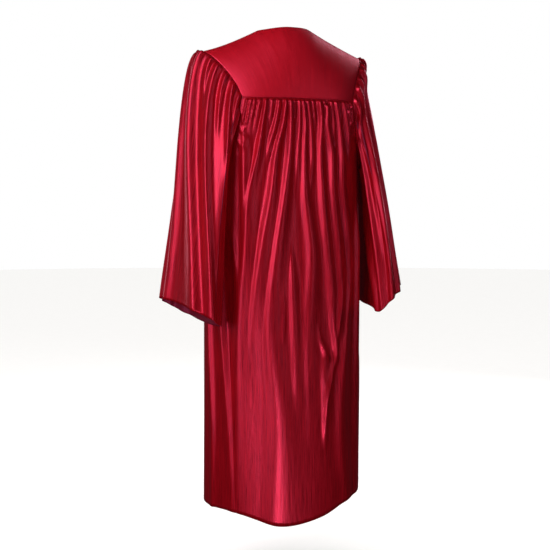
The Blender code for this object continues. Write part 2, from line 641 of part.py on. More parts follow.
def sleeve_lift(turn, down, side):
    """How far the folds raise the sleeve there, over cloth that sinks a little between them."""
    total = 0.0
    girth = between(0.62, 0.66, down)
    for at_top, at_elbow, at_cuff, start, end, top_width, foot_width, rise in SLEEVE_FOLDS[side]:
        place = float(smooth_curve((0.0, 0.45, 1.0), (at_top, at_elbow, at_cuff))(down))
        run = (down - start) / (end - start)
        if run < 0 or (run > 1 and end < 1):
            continue
        width = between(top_width, foot_width, min(1.0, run) ** 0.6) / 1000
        width *= STEEP_FLANK if turn < place else GENTLE_FLANK
        fade = 1.0 - 0.3 * ease((run - 0.3) / 0.7) if end >= 1 else 1.0 - ease((run - 0.4) / 0.6)
        grow = between(0.65, 1.0, ease(down / 0.5)) if end >= 1 else 1.0
        apart = (turn - place) * girth
        lift = rise / 1000 * grow * ease((down - start) / 0.04) * fade * math.exp(-((apart / width) ** 2))
        total += lift**2
    return math.sqrt(total) - SLEEVE_SINK * ease((down - 0.05) / 0.3)


def sleeve(name, side, finish):
    """One bell sleeve, a closed tube of cloth gathered to the armhole."""

    def place(column, row):
        turn = (column / SLEEVE_COLUMNS) % 1.0
        if side > 0:
            turn = (1 - turn) % 1.0
        down = SLEEVE_DOWNS[len(SLEEVE_DOWNS) - 1 - row]
        point = sleeve_surface(turn, down, side)
        point += sleeve_normal(turn, down, side) * sleeve_lift(turn, down, side)
        point += Vector((SLEEVE_STAND_OFF, 0.0, 0.0))
        return Vector((side * point.x, point.y, point.z))

    return cloth_panel(name, SLEEVE_COLUMNS, len(SLEEVE_DOWNS) - 1, place, finish, closed=True)


def front_line():
    """Points down the centre front in the plane of the cloth, at the heights of the rows of the yokes and fronts."""
    heights = [between(NECK_FRONT_Z, YOKE_FRONT_Z, down) for down in (0.15, 0.5, 1.0)]
    top = YOKE_FRONT_Z - SEAM_GAP
    foot = float(HEM_HEIGHT(2.0))
    heights += [top + (foot - top) * drop for drop in ROW_DROPS[1:] if drop <= ZIP_FOOT_SHARE]
    return [Vector((0.0, -float(DEPTH_IN_FRONT(min(z, YOKE_FRONT_Z))), z)) for z in heights]


def zip_strip(name, edges, proud, thickness, finish, lean=0.0):
    """A strip of the zip down the centre front, its outer face that far in front of the cloth's.

    Above the yoke's seam it leans back with the V neck, by that much for its height.
    """
    line = front_line()

    def place(column, row):
        point = line[len(line) - 1 - row].copy()
        point.x = edges[column]
        point.y += lean * max(0.0, point.z - YOKE_FRONT_Z) - proud
        return point

    return cloth_panel(name, 1, len(line) - 1, place, finish, wall=thickness)


def block(name, size, centre, collection, finish, origin, rounding=0.0):
    """A box with rounded edges, whose object has its origin at the point given."""
    mesh = bpy.data.meshes.new(name)
    box = bmesh.new()
    bmesh.ops.create_cube(box, size=1.0)
    bmesh.ops.scale(box, vec=size, verts=box.verts)
    bmesh.ops.translate(box, vec=centre - origin, verts=box.verts)
    box.to_mesh(mesh)
    box.free()
    made = bpy.data.objects.new(name, mesh)
    made.location = origin
    collection.objects.link(made)
    made.data.materials.append(finish)
    if rounding:
        bevel = made.modifiers.new("Rounding", "BEVEL")
        bevel.width = rounding
        bevel.segments = 2
        bevel.limit_method = "ANGLE"
    if collection == CUTTERS:
        made.hide_render = True
        made.display_type = "WIRE"
    return made


def combine(target, other, operation):
    step = target.modifiers.new(operation.title(), "BOOLEAN")
    step.operation = operation
    step.solver = "EXACT"
    step.object = other


def zip_slider(finish):
    """The slider at the top of the closed zip, with the bail that holds the pull."""
    width, depth, height = SLIDER_SIZE
    face = CENTRE_FRONT_Y - SLIDER_PROUD - depth
    origin = Vector((0.0, face, PULL_AXIS_Z))
    centre = origin + Vector((0.0, depth / 2, 0.0))
    slider = block("zip_slider", SLIDER_SIZE, centre, PARTS, finish, origin, rounding=0.0005)
    sunk = 0.0009
    bail_size = (BAIL_SIZE[0], BAIL_SIZE[1] + sunk, BAIL_SIZE[2])
    bail = block("bail", bail_size, origin - Vector((0.0, (BAIL_SIZE[1] - sunk) / 2, 0.0)), CUTTERS, finish,
                 origin)
    inside = (BAIL_SIZE[0] * 2, BAIL_SIZE[1] - BAIL_WALL + sunk / 2, BAIL_SIZE[2] - 2 * BAIL_WALL)
    middle = origin - Vector((0.0, (inside[1] - sunk) / 2, 0.0))
    hollow = block("bail_hollow", inside, middle, CUTTERS, finish, origin)
    combine(bail, hollow, "DIFFERENCE")
    combine(slider, bail, "UNION")
    return slider


def zip_pull(finish):
    """The pull tab, hanging from its bar under the bail."""
    axis_y = CENTRE_FRONT_Y - SLIDER_PROUD - SLIDER_SIZE[1] - (BAIL_SIZE[1] - BAIL_WALL) / 2
    axis = Vector((0.0, axis_y, PULL_AXIS_Z))
    bar = PULL_SIZE[1]
    centre = axis + Vector((0.0, 0.0, bar / 2 - PULL_SIZE[2] / 2))
    pull = block("zip_pull", PULL_SIZE, centre, PARTS, finish, axis, rounding=0.00025)
    window_size = (PULL_WINDOW[0], PULL_SIZE[1] * 2, PULL_WINDOW[1])
    window = block("pull_window", window_size, axis - Vector((0.0, 0.0, bar / 2 + PULL_WINDOW[1] / 2)), CUTTERS,
                   finish, axis)
    combine(pull, window, "DIFFERENCE")
    return pull


SLEEVE_STAND_OFF = 0.0012  # of the sleeve's edge from the armhole's edge, which clears both walls
ARMHOLE_COLUMNS = 8
FRONT_HOLE_COLUMNS = 6
BACK_YOKE_COLUMNS = 22
FRONT_YOKE_COLUMNS = 14
YOKE_DOWNS = (0.0, 0.03, 0.10, 0.22, 0.38, 0.58, 0.80, 1.0)
SLEEVE_COLUMNS = 54

PARTS = bpy.data.collections.new("graduation_gown")
bpy.context.scene.collection.children.link(PARTS)
CUTTERS = bpy.data.collections.new("cutters")
bpy.context.scene.collection.children.link(CUTTERS)

satin = material("crimson_satin", SATIN, 0.32, 0.0)
back_yoke(satin)
for label, side in (("left", 1), ("right", -1)):
    front_yoke("front_yoke_" + label, side, satin)
    front_panel("front_" + label, side, satin)
    sleeve("sleeve_" + label, side, satin)
back_panel(satin)

tape_cloth = material("zip_tape", ZIP_CLOTH, 0.8, 0.0)
zip_metal = material("zip_metal", ZIP_METAL, 0.35, 1.0)
tape_proud = -(WALL + SEAM_GAP)
zip_strip("zip_tape_left", TAPE_EDGES, tape_proud, TAPE_THICKNESS, tape_cloth, TAPE_LEAN)
RIGHT_TAPE_EDGES = [-edge for edge in TAPE_EDGES[::-1]]
zip_strip("zip_tape_right", RIGHT_TAPE_EDGES, tape_proud, TAPE_THICKNESS, tape_cloth, TAPE_LEAN)
zip_strip("zip_coil", (-COIL_HALF_WIDTH, COIL_HALF_WIDTH), COIL_PROUD, COIL_THICKNESS, tape_cloth)
zip_slider(zip_metal)
zip_pull(zip_metal)
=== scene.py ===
import math

import bmesh
import bpy
import numpy as np
from mathutils import Matrix, Vector


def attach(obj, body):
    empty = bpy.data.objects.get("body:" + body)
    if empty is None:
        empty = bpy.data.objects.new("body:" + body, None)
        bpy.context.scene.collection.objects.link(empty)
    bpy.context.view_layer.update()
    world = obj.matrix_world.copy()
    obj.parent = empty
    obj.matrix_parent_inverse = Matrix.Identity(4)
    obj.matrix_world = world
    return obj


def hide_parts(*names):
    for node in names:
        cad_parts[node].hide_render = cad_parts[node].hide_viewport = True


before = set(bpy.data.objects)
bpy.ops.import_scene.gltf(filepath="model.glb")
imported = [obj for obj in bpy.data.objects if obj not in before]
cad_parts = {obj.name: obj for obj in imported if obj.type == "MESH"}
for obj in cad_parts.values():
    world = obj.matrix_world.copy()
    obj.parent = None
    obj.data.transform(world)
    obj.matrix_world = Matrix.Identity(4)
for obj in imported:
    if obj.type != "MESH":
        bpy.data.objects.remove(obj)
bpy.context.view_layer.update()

# The photograph's place: three metres behind the wearer and to their left, at the height of the hips, looking
# a little down. The picture is 550 px wide and shows 2.7 mm of the gown in each of them.
CAMERA_AZIMUTH = math.radians(156)
CAMERA_DISTANCE = 3.0
CAMERA_HEIGHT = -0.4536
AIM_HEIGHT = -0.652
AIM_LEFT = 0.0162
LENS_MM = 72.9

away = Vector((math.sin(CAMERA_AZIMUTH), -math.cos(CAMERA_AZIMUTH), 0.0))
camera_right = Vector((math.cos(CAMERA_AZIMUTH), math.sin(CAMERA_AZIMUTH), 0.0))
camera = bpy.data.objects.new("camera", bpy.data.cameras.new("camera"))
camera.data.lens = LENS_MM
camera.data.sensor_width = 36.0
camera.location = away * CAMERA_DISTANCE + Vector((0.0, 0.0, CAMERA_HEIGHT))
aim = Vector((0.0, 0.0, AIM_HEIGHT)) - camera_right * AIM_LEFT
camera.rotation_euler = (aim - camera.location).to_track_quat("-Z", "Y").to_euler()
bpy.context.scene.collection.objects.link(camera)
bpy.context.scene.camera = camera

# The satin: bright polyester warp floats over a fine weft, dyed crimson and calendered. The long floats lie
# up and down the gown, so its shine is tinted by the dye, spreads sideways over each fold and is dull in the
# flat yokes.


def linear(hex_colour):
    """An sRGB colour, written as six hex digits, in linear light."""
    channels = [int(hex_colour[place:place + 2], 16) / 255 for place in (0, 2, 4)]
    return [*(c / 12.92 if c <= 0.04045 else ((c + 0.055) / 1.055) ** 2.4 for c in channels), 1.0]


def add(tree, kind, inputs, **settings):
    """Adds a node with its settings; an input is a value or the socket that feeds it."""
    made = tree.nodes.new(kind)
    for name, value in settings.items():
        setattr(made, name, value)
    for name, value in inputs.items():
        if isinstance(value, bpy.types.NodeSocket):
            tree.links.new(value, made.inputs[name])
        else:
            made.inputs[name].default_value = value
    return made


STREAK_MM = (2.2, 90.0)  # width and length of the slubs, drawn coarse: the real floats are 0.1 mm wide
CREASE_MM = 16.0


def satin(name, colour, shine_colour, metallic, roughness, anisotropy, sheen):
    """Dyed polyester satin, whose cloth runs along the piece's own UV map, in metres."""
    made = bpy.data.materials.new(name)
    made.use_nodes = True
    tree = made.node_tree
    shader = tree.nodes["Principled BSDF"]
    cloth = add(tree, "ShaderNodeUVMap", {}, uv_map="cloth").outputs["UV"]
    across, along = (1000 / size for size in STREAK_MM)
    streaks = add(tree, "ShaderNodeMapping", {"Vector": cloth, "Scale": (across, along, 1.0)})
    slubs = add(tree, "ShaderNodeTexNoise", {"Vector": streaks.outputs["Vector"], "Scale": 1.0, "Detail": 3.0,
                                             "Roughness": 0.6}, noise_dimensions="2D")
    broad = add(tree, "ShaderNodeMapping",
                {"Vector": cloth, "Scale": (1000 / CREASE_MM, 260 / CREASE_MM, 1.0)})
    creases = add(tree, "ShaderNodeTexNoise",
                  {"Vector": broad.outputs["Vector"], "Scale": 1.0, "Detail": 2.0}, noise_dimensions="2D")
    tone = add(tree, "ShaderNodeMapRange", {"Value": slubs.outputs["Fac"], "From Min": 0.3, "From Max": 0.7,
                                            "To Min": 0.0, "To Max": 1.0})
    mix = add(tree, "ShaderNodeMix", {"Factor": tone.outputs["Result"], "A": linear(colour),
                                      "B": linear(shine_colour)}, data_type="RGBA")
    tree.links.new(mix.outputs["Result"], shader.inputs["Base Color"])
    rough = add(tree, "ShaderNodeMapRange", {"Value": slubs.outputs["Fac"], "From Min": 0.3, "From Max": 0.7,
                                             "To Min": roughness - 0.08, "To Max": roughness + 0.08})
    tree.links.new(rough.outputs["Result"], shader.inputs["Roughness"])
    fine = add(tree, "ShaderNodeBump", {"Height": slubs.outputs["Fac"], "Strength": 0.40, "Distance": 0.0004})
    soft = add(tree, "ShaderNodeBump",
               {"Height": creases.outputs["Fac"], "Strength": 0.35, "Distance": 0.0012,
                "Normal": fine.outputs["Normal"]})
    tree.links.new(soft.outputs["Normal"], shader.inputs["Normal"])
    warp = add(tree, "ShaderNodeTangent", {}, direction_type="UV_MAP", uv_map="cloth")
    tree.links.new(warp.outputs["Tangent"], shader.inputs["Tangent"])
    shader.inputs["Metallic"].default_value = metallic
    shader.inputs["Anisotropic"].default_value = anisotropy
    shader.inputs["Specular Tint"].default_value = linear("ff95cb")
    shader.inputs["IOR"].default_value = 2.0
    shader.inputs["Sheen Weight"].default_value = sheen
    shader.inputs["Sheen Tint"].default_value = linear("f06a90")
    return made


# The gown's satin: deep crimson in the folds, with a pink shine along each ridge and fine streaks down it.
GOWN_SATIN = satin("crimson_polyester_satin", "a00410", "d60a1a", 0.42, 0.34, 0.45, 0.03)
# The yokes' satin: the same cloth held flat on its interfacing, so its shine is broad and dull.
YOKE_SATIN = satin("crimson_satin_over_interfacing", "b40412", "c20616", 0.35, 0.48, 0.2, 0.03)
# The satin's back: the weft side, which is dark, matt and a little soft, seen inside the cuffs, neck and hem.
SATIN_BACK = satin("satin_reverse", "7c0a22", "8c1028", 0.1, 0.62, 0.0, 0.10)


def smooth_curve(knots, values):
    """A curve through the values, with no corner at the knots."""
    knots = np.array(knots, float)
    values = np.array(values, float)
    slopes = np.gradient(values, knots)

    def read(x):
        x = np.clip(x, knots[0], knots[-1])
        i = np.clip(np.searchsorted(knots, x, side="right") - 1, 0, len(knots) - 2)
        step = knots[i + 1] - knots[i]
        t = (x - knots[i]) / step
        rise = (3 - 2 * t) * t * t
        start_slope = (t**3 - 2 * t * t + t) * step * slopes[i]
        end_slope = (t**3 - t * t) * step * slopes[i + 1]
        return values[i] * (1 - rise) + values[i + 1] * rise + start_slope + end_slope

    return read


def ease(x):
    """0 below 0, 1 above 1, and smooth between."""
    x = np.clip(x, 0.0, 1.0)
    return x * x * (3 - 2 * x)


def between(first, second, share):
    return first + (second - first) * share


def points(x, y, z):
    return np.stack(np.broadcast_arrays(x, y, z), axis=-1).astype(float)


def hermite(start, leave, end, arrive, t):
    """The point at t on a smooth line from start to end with those directions."""
    t = np.asarray(t)[..., None]
    return (start * (2 * t**3 - 3 * t * t + 1) + leave * (t**3 - 2 * t * t + t)
            + end * (3 * t * t - 2 * t**3) + arrive * (t**3 - t * t))


CLOTH_WALL = 0.0006


def cloth(name, columns, rows, place, finish, node, closed=False):
    """A piece of cloth from a flat grid, carried to its shape by place(across, down), both from 0 to 1."""
    sheet = bmesh.new()
    bmesh.ops.create_grid(sheet, x_segments=columns, y_segments=rows, size=0.5)
    mesh = bpy.data.meshes.new(name)
    sheet.to_mesh(mesh)
    flat = np.empty(len(mesh.vertices) * 3, np.float32)
    mesh.vertices.foreach_get("co", flat)
    flat = flat.reshape(-1, 3)
    across = np.round((flat[:, 0] + 0.5) * columns) / columns
    down = 1.0 - np.round((flat[:, 1] + 0.5) * rows) / rows
    shape, spread = place(across.astype(float), down.astype(float))
    mesh.vertices.foreach_set("co", shape.astype(np.float32).ravel())
    corners = np.empty(len(mesh.loops), np.int32)
    mesh.loops.foreach_get("vertex_index", corners)
    layer = mesh.uv_layers.new(name="cloth")
    layer.uv.foreach_set("vector", spread[corners].astype(np.float32).ravel())
    sheet.free()
    sheet = bmesh.new()
    sheet.from_mesh(mesh)
    if closed:
        bmesh.ops.remove_doubles(sheet, verts=sheet.verts, dist=0.00002)
    sheet.to_mesh(mesh)
    sheet.free()
    mesh.shade_smooth()
    piece = bpy.data.objects.new(name, mesh)
    bpy.context.scene.collection.objects.link(piece)
    mesh.materials.append(finish)
    mesh.materials.append(SATIN_BACK)
    wall = piece.modifiers.new("Wall", "SOLIDIFY")
    wall.thickness = CLOTH_WALL
    wall.offset = -1.0
    wall.material_offset = 1
    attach(piece, "gown")
    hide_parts(node)
    return piece


# The body's form, which the back and the two fronts hang in: a hollow column, squarish at the shoulder blades
# and rounder at the hem. A place on it is its height and its arc length from the centre back, + to the
# wearer's left.
SEAM_GAP = 0.00006  # the panels meet at their sewn seams
YOKE_BACK_Z = -0.190
YOKE_FRONT_Z = -0.170
UNDERARM_Z = -0.350
YOKE_BACK_ARC = 0.160
YOKE_FRONT_ARC = 0.160
BODY_SECTIONS = (
    # height, half width, depth behind, depth in front, squareness
    (-1.300, 0.214, 0.183, 0.168, 2.15),
    (-1.000, 0.212, 0.170, 0.157, 2.20),
    (-0.750, 0.211, 0.158, 0.147, 2.30),
    (-0.450, 0.208, 0.143, 0.134, 2.60),
    (-0.300, 0.203, 0.135, 0.125, 2.90),
    (-0.190, 0.202, 0.133, 0.118, 3.20),
    (-0.150, 0.202, 0.130, 0.112, 3.20),
)
HALF_WIDTH, DEPTH_BEHIND, DEPTH_IN_FRONT, SQUARENESS = (
    smooth_curve([row[0] for row in BODY_SECTIONS], [row[column] for row in BODY_SECTIONS])
    for column in (1, 2, 3, 4)
)
RING_HEIGHTS = np.linspace(-1.310, -0.140, 235)
RING_POINTS = 801


def body_rings():
    """Rings of even points round the body's left half, their lengths, and the length to the side seam."""
    rings = []
    lengths = []
    seams = []
    angle = np.linspace(math.pi / 2, -math.pi / 2, 4 * RING_POINTS)
    for z in RING_HEIGHTS:
        power = SQUARENESS(z)
        depth = np.where(angle >= 0, DEPTH_BEHIND(z), DEPTH_IN_FRONT(z))
        reach = (np.abs(np.cos(angle)) / HALF_WIDTH(z)) ** power + (np.abs(np.sin(angle)) / depth) ** power
        reach = reach ** (-1 / power)
        x = reach * np.cos(angle)
        y = reach * np.sin(angle)
        arc = np.concatenate([[0.0], np.cumsum(np.hypot(np.diff(x), np.diff(y)))])
        even = np.linspace(0.0, arc[-1], RING_POINTS)
        rings.append(np.stack([np.interp(even, arc, x), np.interp(even, arc, y)], axis=-1))
        lengths.append(arc[-1])
        seams.append(np.interp(0.0, -y, arc))
    return np.array(rings), np.array(lengths), np.array(seams)


RINGS, RING_LENGTHS, RING_SEAMS = body_rings()


def half_round(z):
    return np.interp(z, RING_HEIGHTS, RING_LENGTHS)


def side_arc(z):
    return np.interp(z, RING_HEIGHTS, RING_SEAMS)


def read_ring(share, z):
    row = np.clip((z - RING_HEIGHTS[0]) / (RING_HEIGHTS[1] - RING_HEIGHTS[0]), 0, len(RING_HEIGHTS) - 1.001)
    column = np.clip(share * (RING_POINTS - 1), 0, RING_POINTS - 1.001)
    i = row.astype(int)
    j = column.astype(int)
    up = (row - i)[..., None]
    on = (column - j)[..., None]
    lower = RINGS[i, j] * (1 - on) + RINGS[i, j + 1] * on
    upper = RINGS[i + 1, j] * (1 - on) + RINGS[i + 1, j + 1] * on
    return lower * (1 - up) + upper * up


def body_surface(arc, z, out=0.0):
    arc, z = np.broadcast_arrays(np.asarray(arc, float), np.asarray(z, float))
    share = np.abs(arc) / half_round(z)
    spot = read_ring(share, z)
    tangent = read_ring(share + 0.003, z) - read_ring(share - 0.003, z)
    tangent /= np.linalg.norm(tangent, axis=-1, keepdims=True)
    x = spot[..., 0] - tangent[..., 1] * out
    y = spot[..., 1] + tangent[..., 0] * out
    return points(np.where(arc >= 0, x, -x), y, z)


# The yokes: one piece over both shoulder blades and one each side of the zip, cut from satin with a firm
# interfacing, so they lie smooth. They meet in the shoulder seams, and their neck edge is turned under.
SHOULDER_LINE = (
    # x, y, height on the wearer's left, height on the wearer's right, from the neck point out to the sleeve
    (0.073, 0.012, -0.006, 0.001),
    (0.110, 0.008, -0.024, -0.016),
    (0.150, 0.005, -0.042, -0.033),
    (0.190, 0.002, -0.057, -0.049),
    (0.224, 0.000, -0.067, -0.062),
)
NECK_RIDGE = (0.017, 0.016)  # where the shoulder line would cross the centre, were there no neck
NECK_DROP = 0.195  # share of the yoke's height that the neck takes at the centre back
NECK_FRONT_Z = -0.135
NECK_SHARE_BACK = 0.073 / 0.224
NECK_SHARE_FRONT = 0.50
NECK_COLUMNS = 4 / 11  # share of the back yoke's columns that run to the neck
FRONT_EDGE = 0.0036
CENTRE_FRONT_Y = -float(DEPTH_IN_FRONT(YOKE_FRONT_Z))


def shoulder_point(share, side):
    """The shoulder line from 0 at the neck point to 1 at the sleeve, kept on the wearer's left."""
    knots = [row[0] for row in SHOULDER_LINE]
    reach = between(knots[0], knots[-1], share)
    y = smooth_curve(knots, [row[1] for row in SHOULDER_LINE])(reach)
    left = smooth_curve(knots, [row[2] for row in SHOULDER_LINE])(reach)
    right = smooth_curve(knots, [row[3] for row in SHOULDER_LINE])(reach)
    return points(reach, y, np.where(side > 0, left, right))


def back_yoke_surface(across, down):
    """across runs from -1 at the right armhole to 1 at the left, down from 0 at the top to 1 at the seam."""
    across, down = np.broadcast_arrays(np.asarray(across, float), np.asarray(down, float))
    side = np.where(across >= 0, 1.0, -1.0)
    reach = np.abs(across)
    inward = np.maximum(1 - reach / NECK_SHARE_BACK, 0.0)
    neck = shoulder_point(np.zeros_like(reach), side)
    ridge = hermite(neck, np.array((-0.073, 0.008, 0.035)), np.array((0.0, *NECK_RIDGE)),
                    np.array((-0.073, 0.0, 0.0)), inward)
    outer = shoulder_point(np.clip((reach - NECK_SHARE_BACK) / (1 - NECK_SHARE_BACK), 0, 1), side)
    top = np.where((reach < NECK_SHARE_BACK)[..., None], ridge, outer)
    foot = body_surface(reach * YOKE_BACK_ARC, np.full_like(reach, YOKE_BACK_Z))
    length = np.linalg.norm(foot - top, axis=-1, keepdims=True)
    leave = np.array((0.0, 0.95, -0.04)) * length
    outward = (reach**3)[..., None]
    arrive = between(np.array((0.0, 0.04, -1.0)), np.array((-0.22, 0.28, -0.93)), outward) * length
    cut = NECK_DROP * np.sqrt(np.maximum(1 - (reach / NECK_SHARE_BACK) ** 2, 0.0))
    spot = hermite(top, leave, foot, arrive, between(cut, 1.0, down))
    spot[..., 0] *= side
    return spot


def front_yoke_surface(along, down, side):
    """along runs from 0 at the sleeve, over the neck point, to 1 at the zip; kept on the wearer's left."""
    along, down = np.broadcast_arrays(np.asarray(along, float), np.asarray(down, float))
    level = (1 - ease((along - NECK_SHARE_FRONT) / 0.15))[..., None]
    shoulder = shoulder_point(np.clip(1 - along / NECK_SHARE_FRONT, 0, 1), side)
    slide = np.clip((along - NECK_SHARE_FRONT) / (1 - NECK_SHARE_FRONT), 0, 1)
    foot_of_v = np.array((FRONT_EDGE, CENTRE_FRONT_Y, NECK_FRONT_Z))
    neck = hermite(shoulder_point(0.0, side), np.array((-0.006, -0.125, -0.030)), foot_of_v,
                   np.array((-0.095, 0.012, -0.150)), slide)
    top = np.where((along < NECK_SHARE_FRONT)[..., None], shoulder, neck)
    seam = np.full_like(along, YOKE_FRONT_Z)
    foot_arc = half_round(seam) - YOKE_FRONT_ARC + (YOKE_FRONT_ARC - FRONT_EDGE) * along
    foot = body_surface(foot_arc, seam)
    length = np.linalg.norm(foot - top, axis=-1, keepdims=True)
    inner = ease((along - 0.7) / 0.3)[..., None]
    beside_neck = between(np.array((0.0, -0.45, -0.90)), np.array((0.0, 0.0, -1.0)), inner)
    leave = between(beside_neck, np.array((0.0, -0.95, -0.04)), level) * length
    lean = ease(along * 1.3)[..., None]
    arrive = between(np.array((-0.18, -0.22, -0.95)), np.array((0.0, 0.0, -1.0)), lean) * length
    return hermite(top, leave, foot, arrive, down)


def back_yoke(across, down):
    column = 1 - 2 * across
    round_neck = NECK_SHARE_BACK * np.sin(np.minimum(np.abs(column) / NECK_COLUMNS, 1.0) * math.pi / 2)
    past_neck = np.maximum(np.abs(column) - NECK_COLUMNS, 0.0) / (1 - NECK_COLUMNS)
    on_shoulder = past_neck * (1 - NECK_SHARE_BACK)
    across = np.sign(column) * (round_neck + on_shoulder)
    spot = back_yoke_surface(across, down)
    spot[..., 1] += np.where((down == 0) & (np.abs(across) >= NECK_SHARE_BACK), SEAM_GAP / 2, 0.0)
    return spot, np.stack([across * YOKE_BACK_ARC, down * -0.19], axis=-1)


def front_yoke(side):
    def place(across, down):
        along = 1 - across if side > 0 else across
        spot = front_yoke_surface(along, down, side)
        spot[..., 1] -= np.where((down == 0) & (along <= NECK_SHARE_FRONT), SEAM_GAP / 2, 0.0)
        spot[..., 0] *= side
        return spot, np.stack([along * 0.19 * side, down * -0.17], axis=-1)

    return place


yoke_piece = cloth("yoke_over_the_back", 150, 60, back_yoke, YOKE_SATIN, "back_yoke")
YOKES = [yoke_piece]
for label, side in (("left", 1), ("right", -1)):
    piece = cloth("yoke_in_front_" + label, 80, 60, front_yoke(side), YOKE_SATIN, "front_yoke_" + label)
    YOKES.append(piece)

# The gathered back: one wide panel drawn up along the yoke's seam. The gathers fall as deep folds that run
# together lower down, and the hem dips towards the wearer's left.
HEM_LINE = (
    # way round from the centre back in half panels, + to the wearer's left; height of the hem
    (-2.0, -1.242),
    (-1.5, -1.228),
    (-1.0, -1.219),
    (-0.7, -1.226),
    (-0.4, -1.243),
    (-0.1, -1.274),
    (0.25, -1.286),
    (0.6, -1.256),
    (1.0, -1.255),
    (1.5, -1.256),
    (2.0, -1.242),
)
HEM_HEIGHT = smooth_curve(*zip(*HEM_LINE))
ARMHOLE_BACK = ((0.0, YOKE_BACK_Z), (0.10, -0.236), (0.26, -0.300), (0.52, -0.338), (1.0, UNDERARM_Z))
ARMHOLE_BACK_HEIGHT = smooth_curve(*zip(*ARMHOLE_BACK))
FOLD_HEIGHTS = (-0.19, -0.25, -0.32, -0.43, -0.58, -0.78, -1.02, -1.27)
BACK_FOLDS = (
    # place in mm from the centre back at each fold height; start, end; half width at the top, at -0.43 and at
    # the foot in mm; rise in mm
    ((160, 158, 156, 157, 162, 172, 180, 186), -0.215, -0.66, 15, 11, 16, 13.0),
    ((148, 158, 166, 166, 166, 166, 166, 166), -0.190, -0.29, 3.2, 5, 5, 7.0),
    ((139, 147, 152, 152, 152, 152, 152, 152), -0.190, -0.30, 5.2, 6, 6, 8.0),
    ((128, 139, 150, 150, 150, 150, 150, 150), -0.190, -0.31, 3.5, 8, 8, 9.0),
    ((116, 126, 137, 140, 140, 140, 140, 140), -0.190, -0.30, 4.6, 8, 8, 8.0),
    ((101, 110, 120, 144, 156, 175, 182, 188), -0.190, -1.27, 3.4, 12, 26, 14.0),
    ((84, 90, 100, 108, 108, 108, 108, 108), -0.190, -0.27, 5.0, 5, 5, 7.0),
    ((66, 76, 93, 102, 106, 106, 106, 106), -0.190, -0.38, 3.9, 10, 10, 11.0),
    ((49, 57, 74, 89, 116, 142, 152, 156), -0.190, -1.10, 3.8, 13, 26, 14.0),
    ((38, 37, 40, 55, 79, 99, 80, 90), -0.190, -1.27, 5.7, 13, 34, 15.0),
    ((24, 24, 27, 30, 30, 30, 30, 30), -0.190, -0.27, 3.8, 6, 6, 9.0),
    ((12, 11, 16, 19, 12, 12, 12, 12), -0.190, -0.50, 4.6, 10, 10, 11.0),
    ((3, -3, -1, 0, -15, -4, -6, -6), -0.190, -1.15, 3.5, 13, 26, 14.0),
    ((-11, -19, -23, -17, -14, -14, -14, -14), -0.190, -0.52, 5.7, 10, 10, 11.0),
    ((-27, -33, -36, -36, -36, -36, -36, -36), -0.190, -0.30, 3.5, 7, 7, 8.0),
    ((-44, -50, -46, -50, -62, -88, -94, -94), -0.190, -1.05, 5.2, 12, 24, 14.0),
    ((-59, -70, -84, -90, -90, -90, -90, -90), -0.190, -0.28, 3.0, 6, 6, 9.0),
    ((-68, -66, -79, -82, -97, -106, -112, -112), -0.200, -1.15, 6.0, 12, 24, 14.0),
    ((-80, -88, -92, -102, -106, -106, -106, -106), -0.190, -0.42, 3.9, 8, 8, 9.0),
    ((-92, -103, -112, -114, -138, -150, -150, -150), -0.190, -0.84, 3.6, 12, 20, 13.0),
    ((-105, -114, -122, -128, -128, -128, -128, -128), -0.190, -0.27, 4.6, 5, 5, 7.0),
    ((-117, -132, -146, -152, -156, -156, -156, -156), -0.190, -0.36, 4.1, 9, 9, 10.0),
    ((-131, -146, -156, -160, -160, -160, -160, -160), -0.190, -0.29, 4.2, 6, 6, 8.0),
    ((-147, -156, -160, -160, -160, -160, -160, -160), -0.190, -0.27, 3.0, 5, 5, 7.0),
    ((30, 30, 30, 30, 38, 36, 30, 30), -0.520, -1.10, 8, 8, 24, 10.0),
    ((-60, -60, -60, -60, -60, -47, -56, -56), -0.760, -1.12, 14, 14, 20, 8.0),
    ((-130, -130, -130, -140, -148, -124, -100, -128), -0.560, -1.27, 14, 14, 24, 12.0),
    ((-182, -182, -184, -186, -184, -180, -176, -174), -0.420, -1.27, 14, 14, 24, 12.0),
    ((210, 212, 218, 226, 230, 224, 211, 202), -0.440, -1.27, 10, 10, 12, 13.0),
    ((280, 280, 280, 280, 280, 276, 270, 281), -0.580, -1.27, 10, 10, 11, 12.0),
    ((-242, -242, -242, -244, -248, -252, -256, -260), -0.740, -1.27, 14, 14, 24, 8.0),
)

FRONT_PLEATS = 9
FRONT_PLEAT_FIRST = 0.018
FRONT_PLEAT_PITCH = 0.0160
FRONT_PLEAT_SPREAD = 1.55
FRONT_PLEAT_WIDTH = (5.0, 7.0, 12.0)
FRONT_PLEAT_ENDS = (-1.27, -0.62, -1.27, -0.86, -1.27, -0.70, -1.27, -0.78, -1.10)
FRONT_PLEAT_RISE = (11.0, 11.0, 12.0, 11.0, 12.0, 11.0, 12.0, 11.0, 11.0)
FLAT_FRONT = 0.012


def pleat_rows():
    """The front pleats in the same form as the folds of the back, for both sides."""
    rows = []
    for side in (1, -1):
        for number in range(FRONT_PLEATS):
            from_front = FRONT_PLEAT_FIRST + FRONT_PLEAT_PITCH * number
            places = []
            for height in FOLD_HEIGHTS:
                drop = (height - YOKE_FRONT_Z) / (FOLD_HEIGHTS[-1] - YOKE_FRONT_Z)
                spread = 1 + (FRONT_PLEAT_SPREAD - 1) * float(ease(drop))
                places.append(1000 * side * (float(half_round(height)) - from_front * spread))
            rows.append((tuple(places), YOKE_FRONT_Z, FRONT_PLEAT_ENDS[number], *FRONT_PLEAT_WIDTH,
                         FRONT_PLEAT_RISE[number]))
    return rows


STEEP_SIDE = 0.80
GENTLE_SIDE = 1.50
SIDE_PANEL = 0.19  # past this, on the wearer's left, a fold's steep flank is the one towards the back


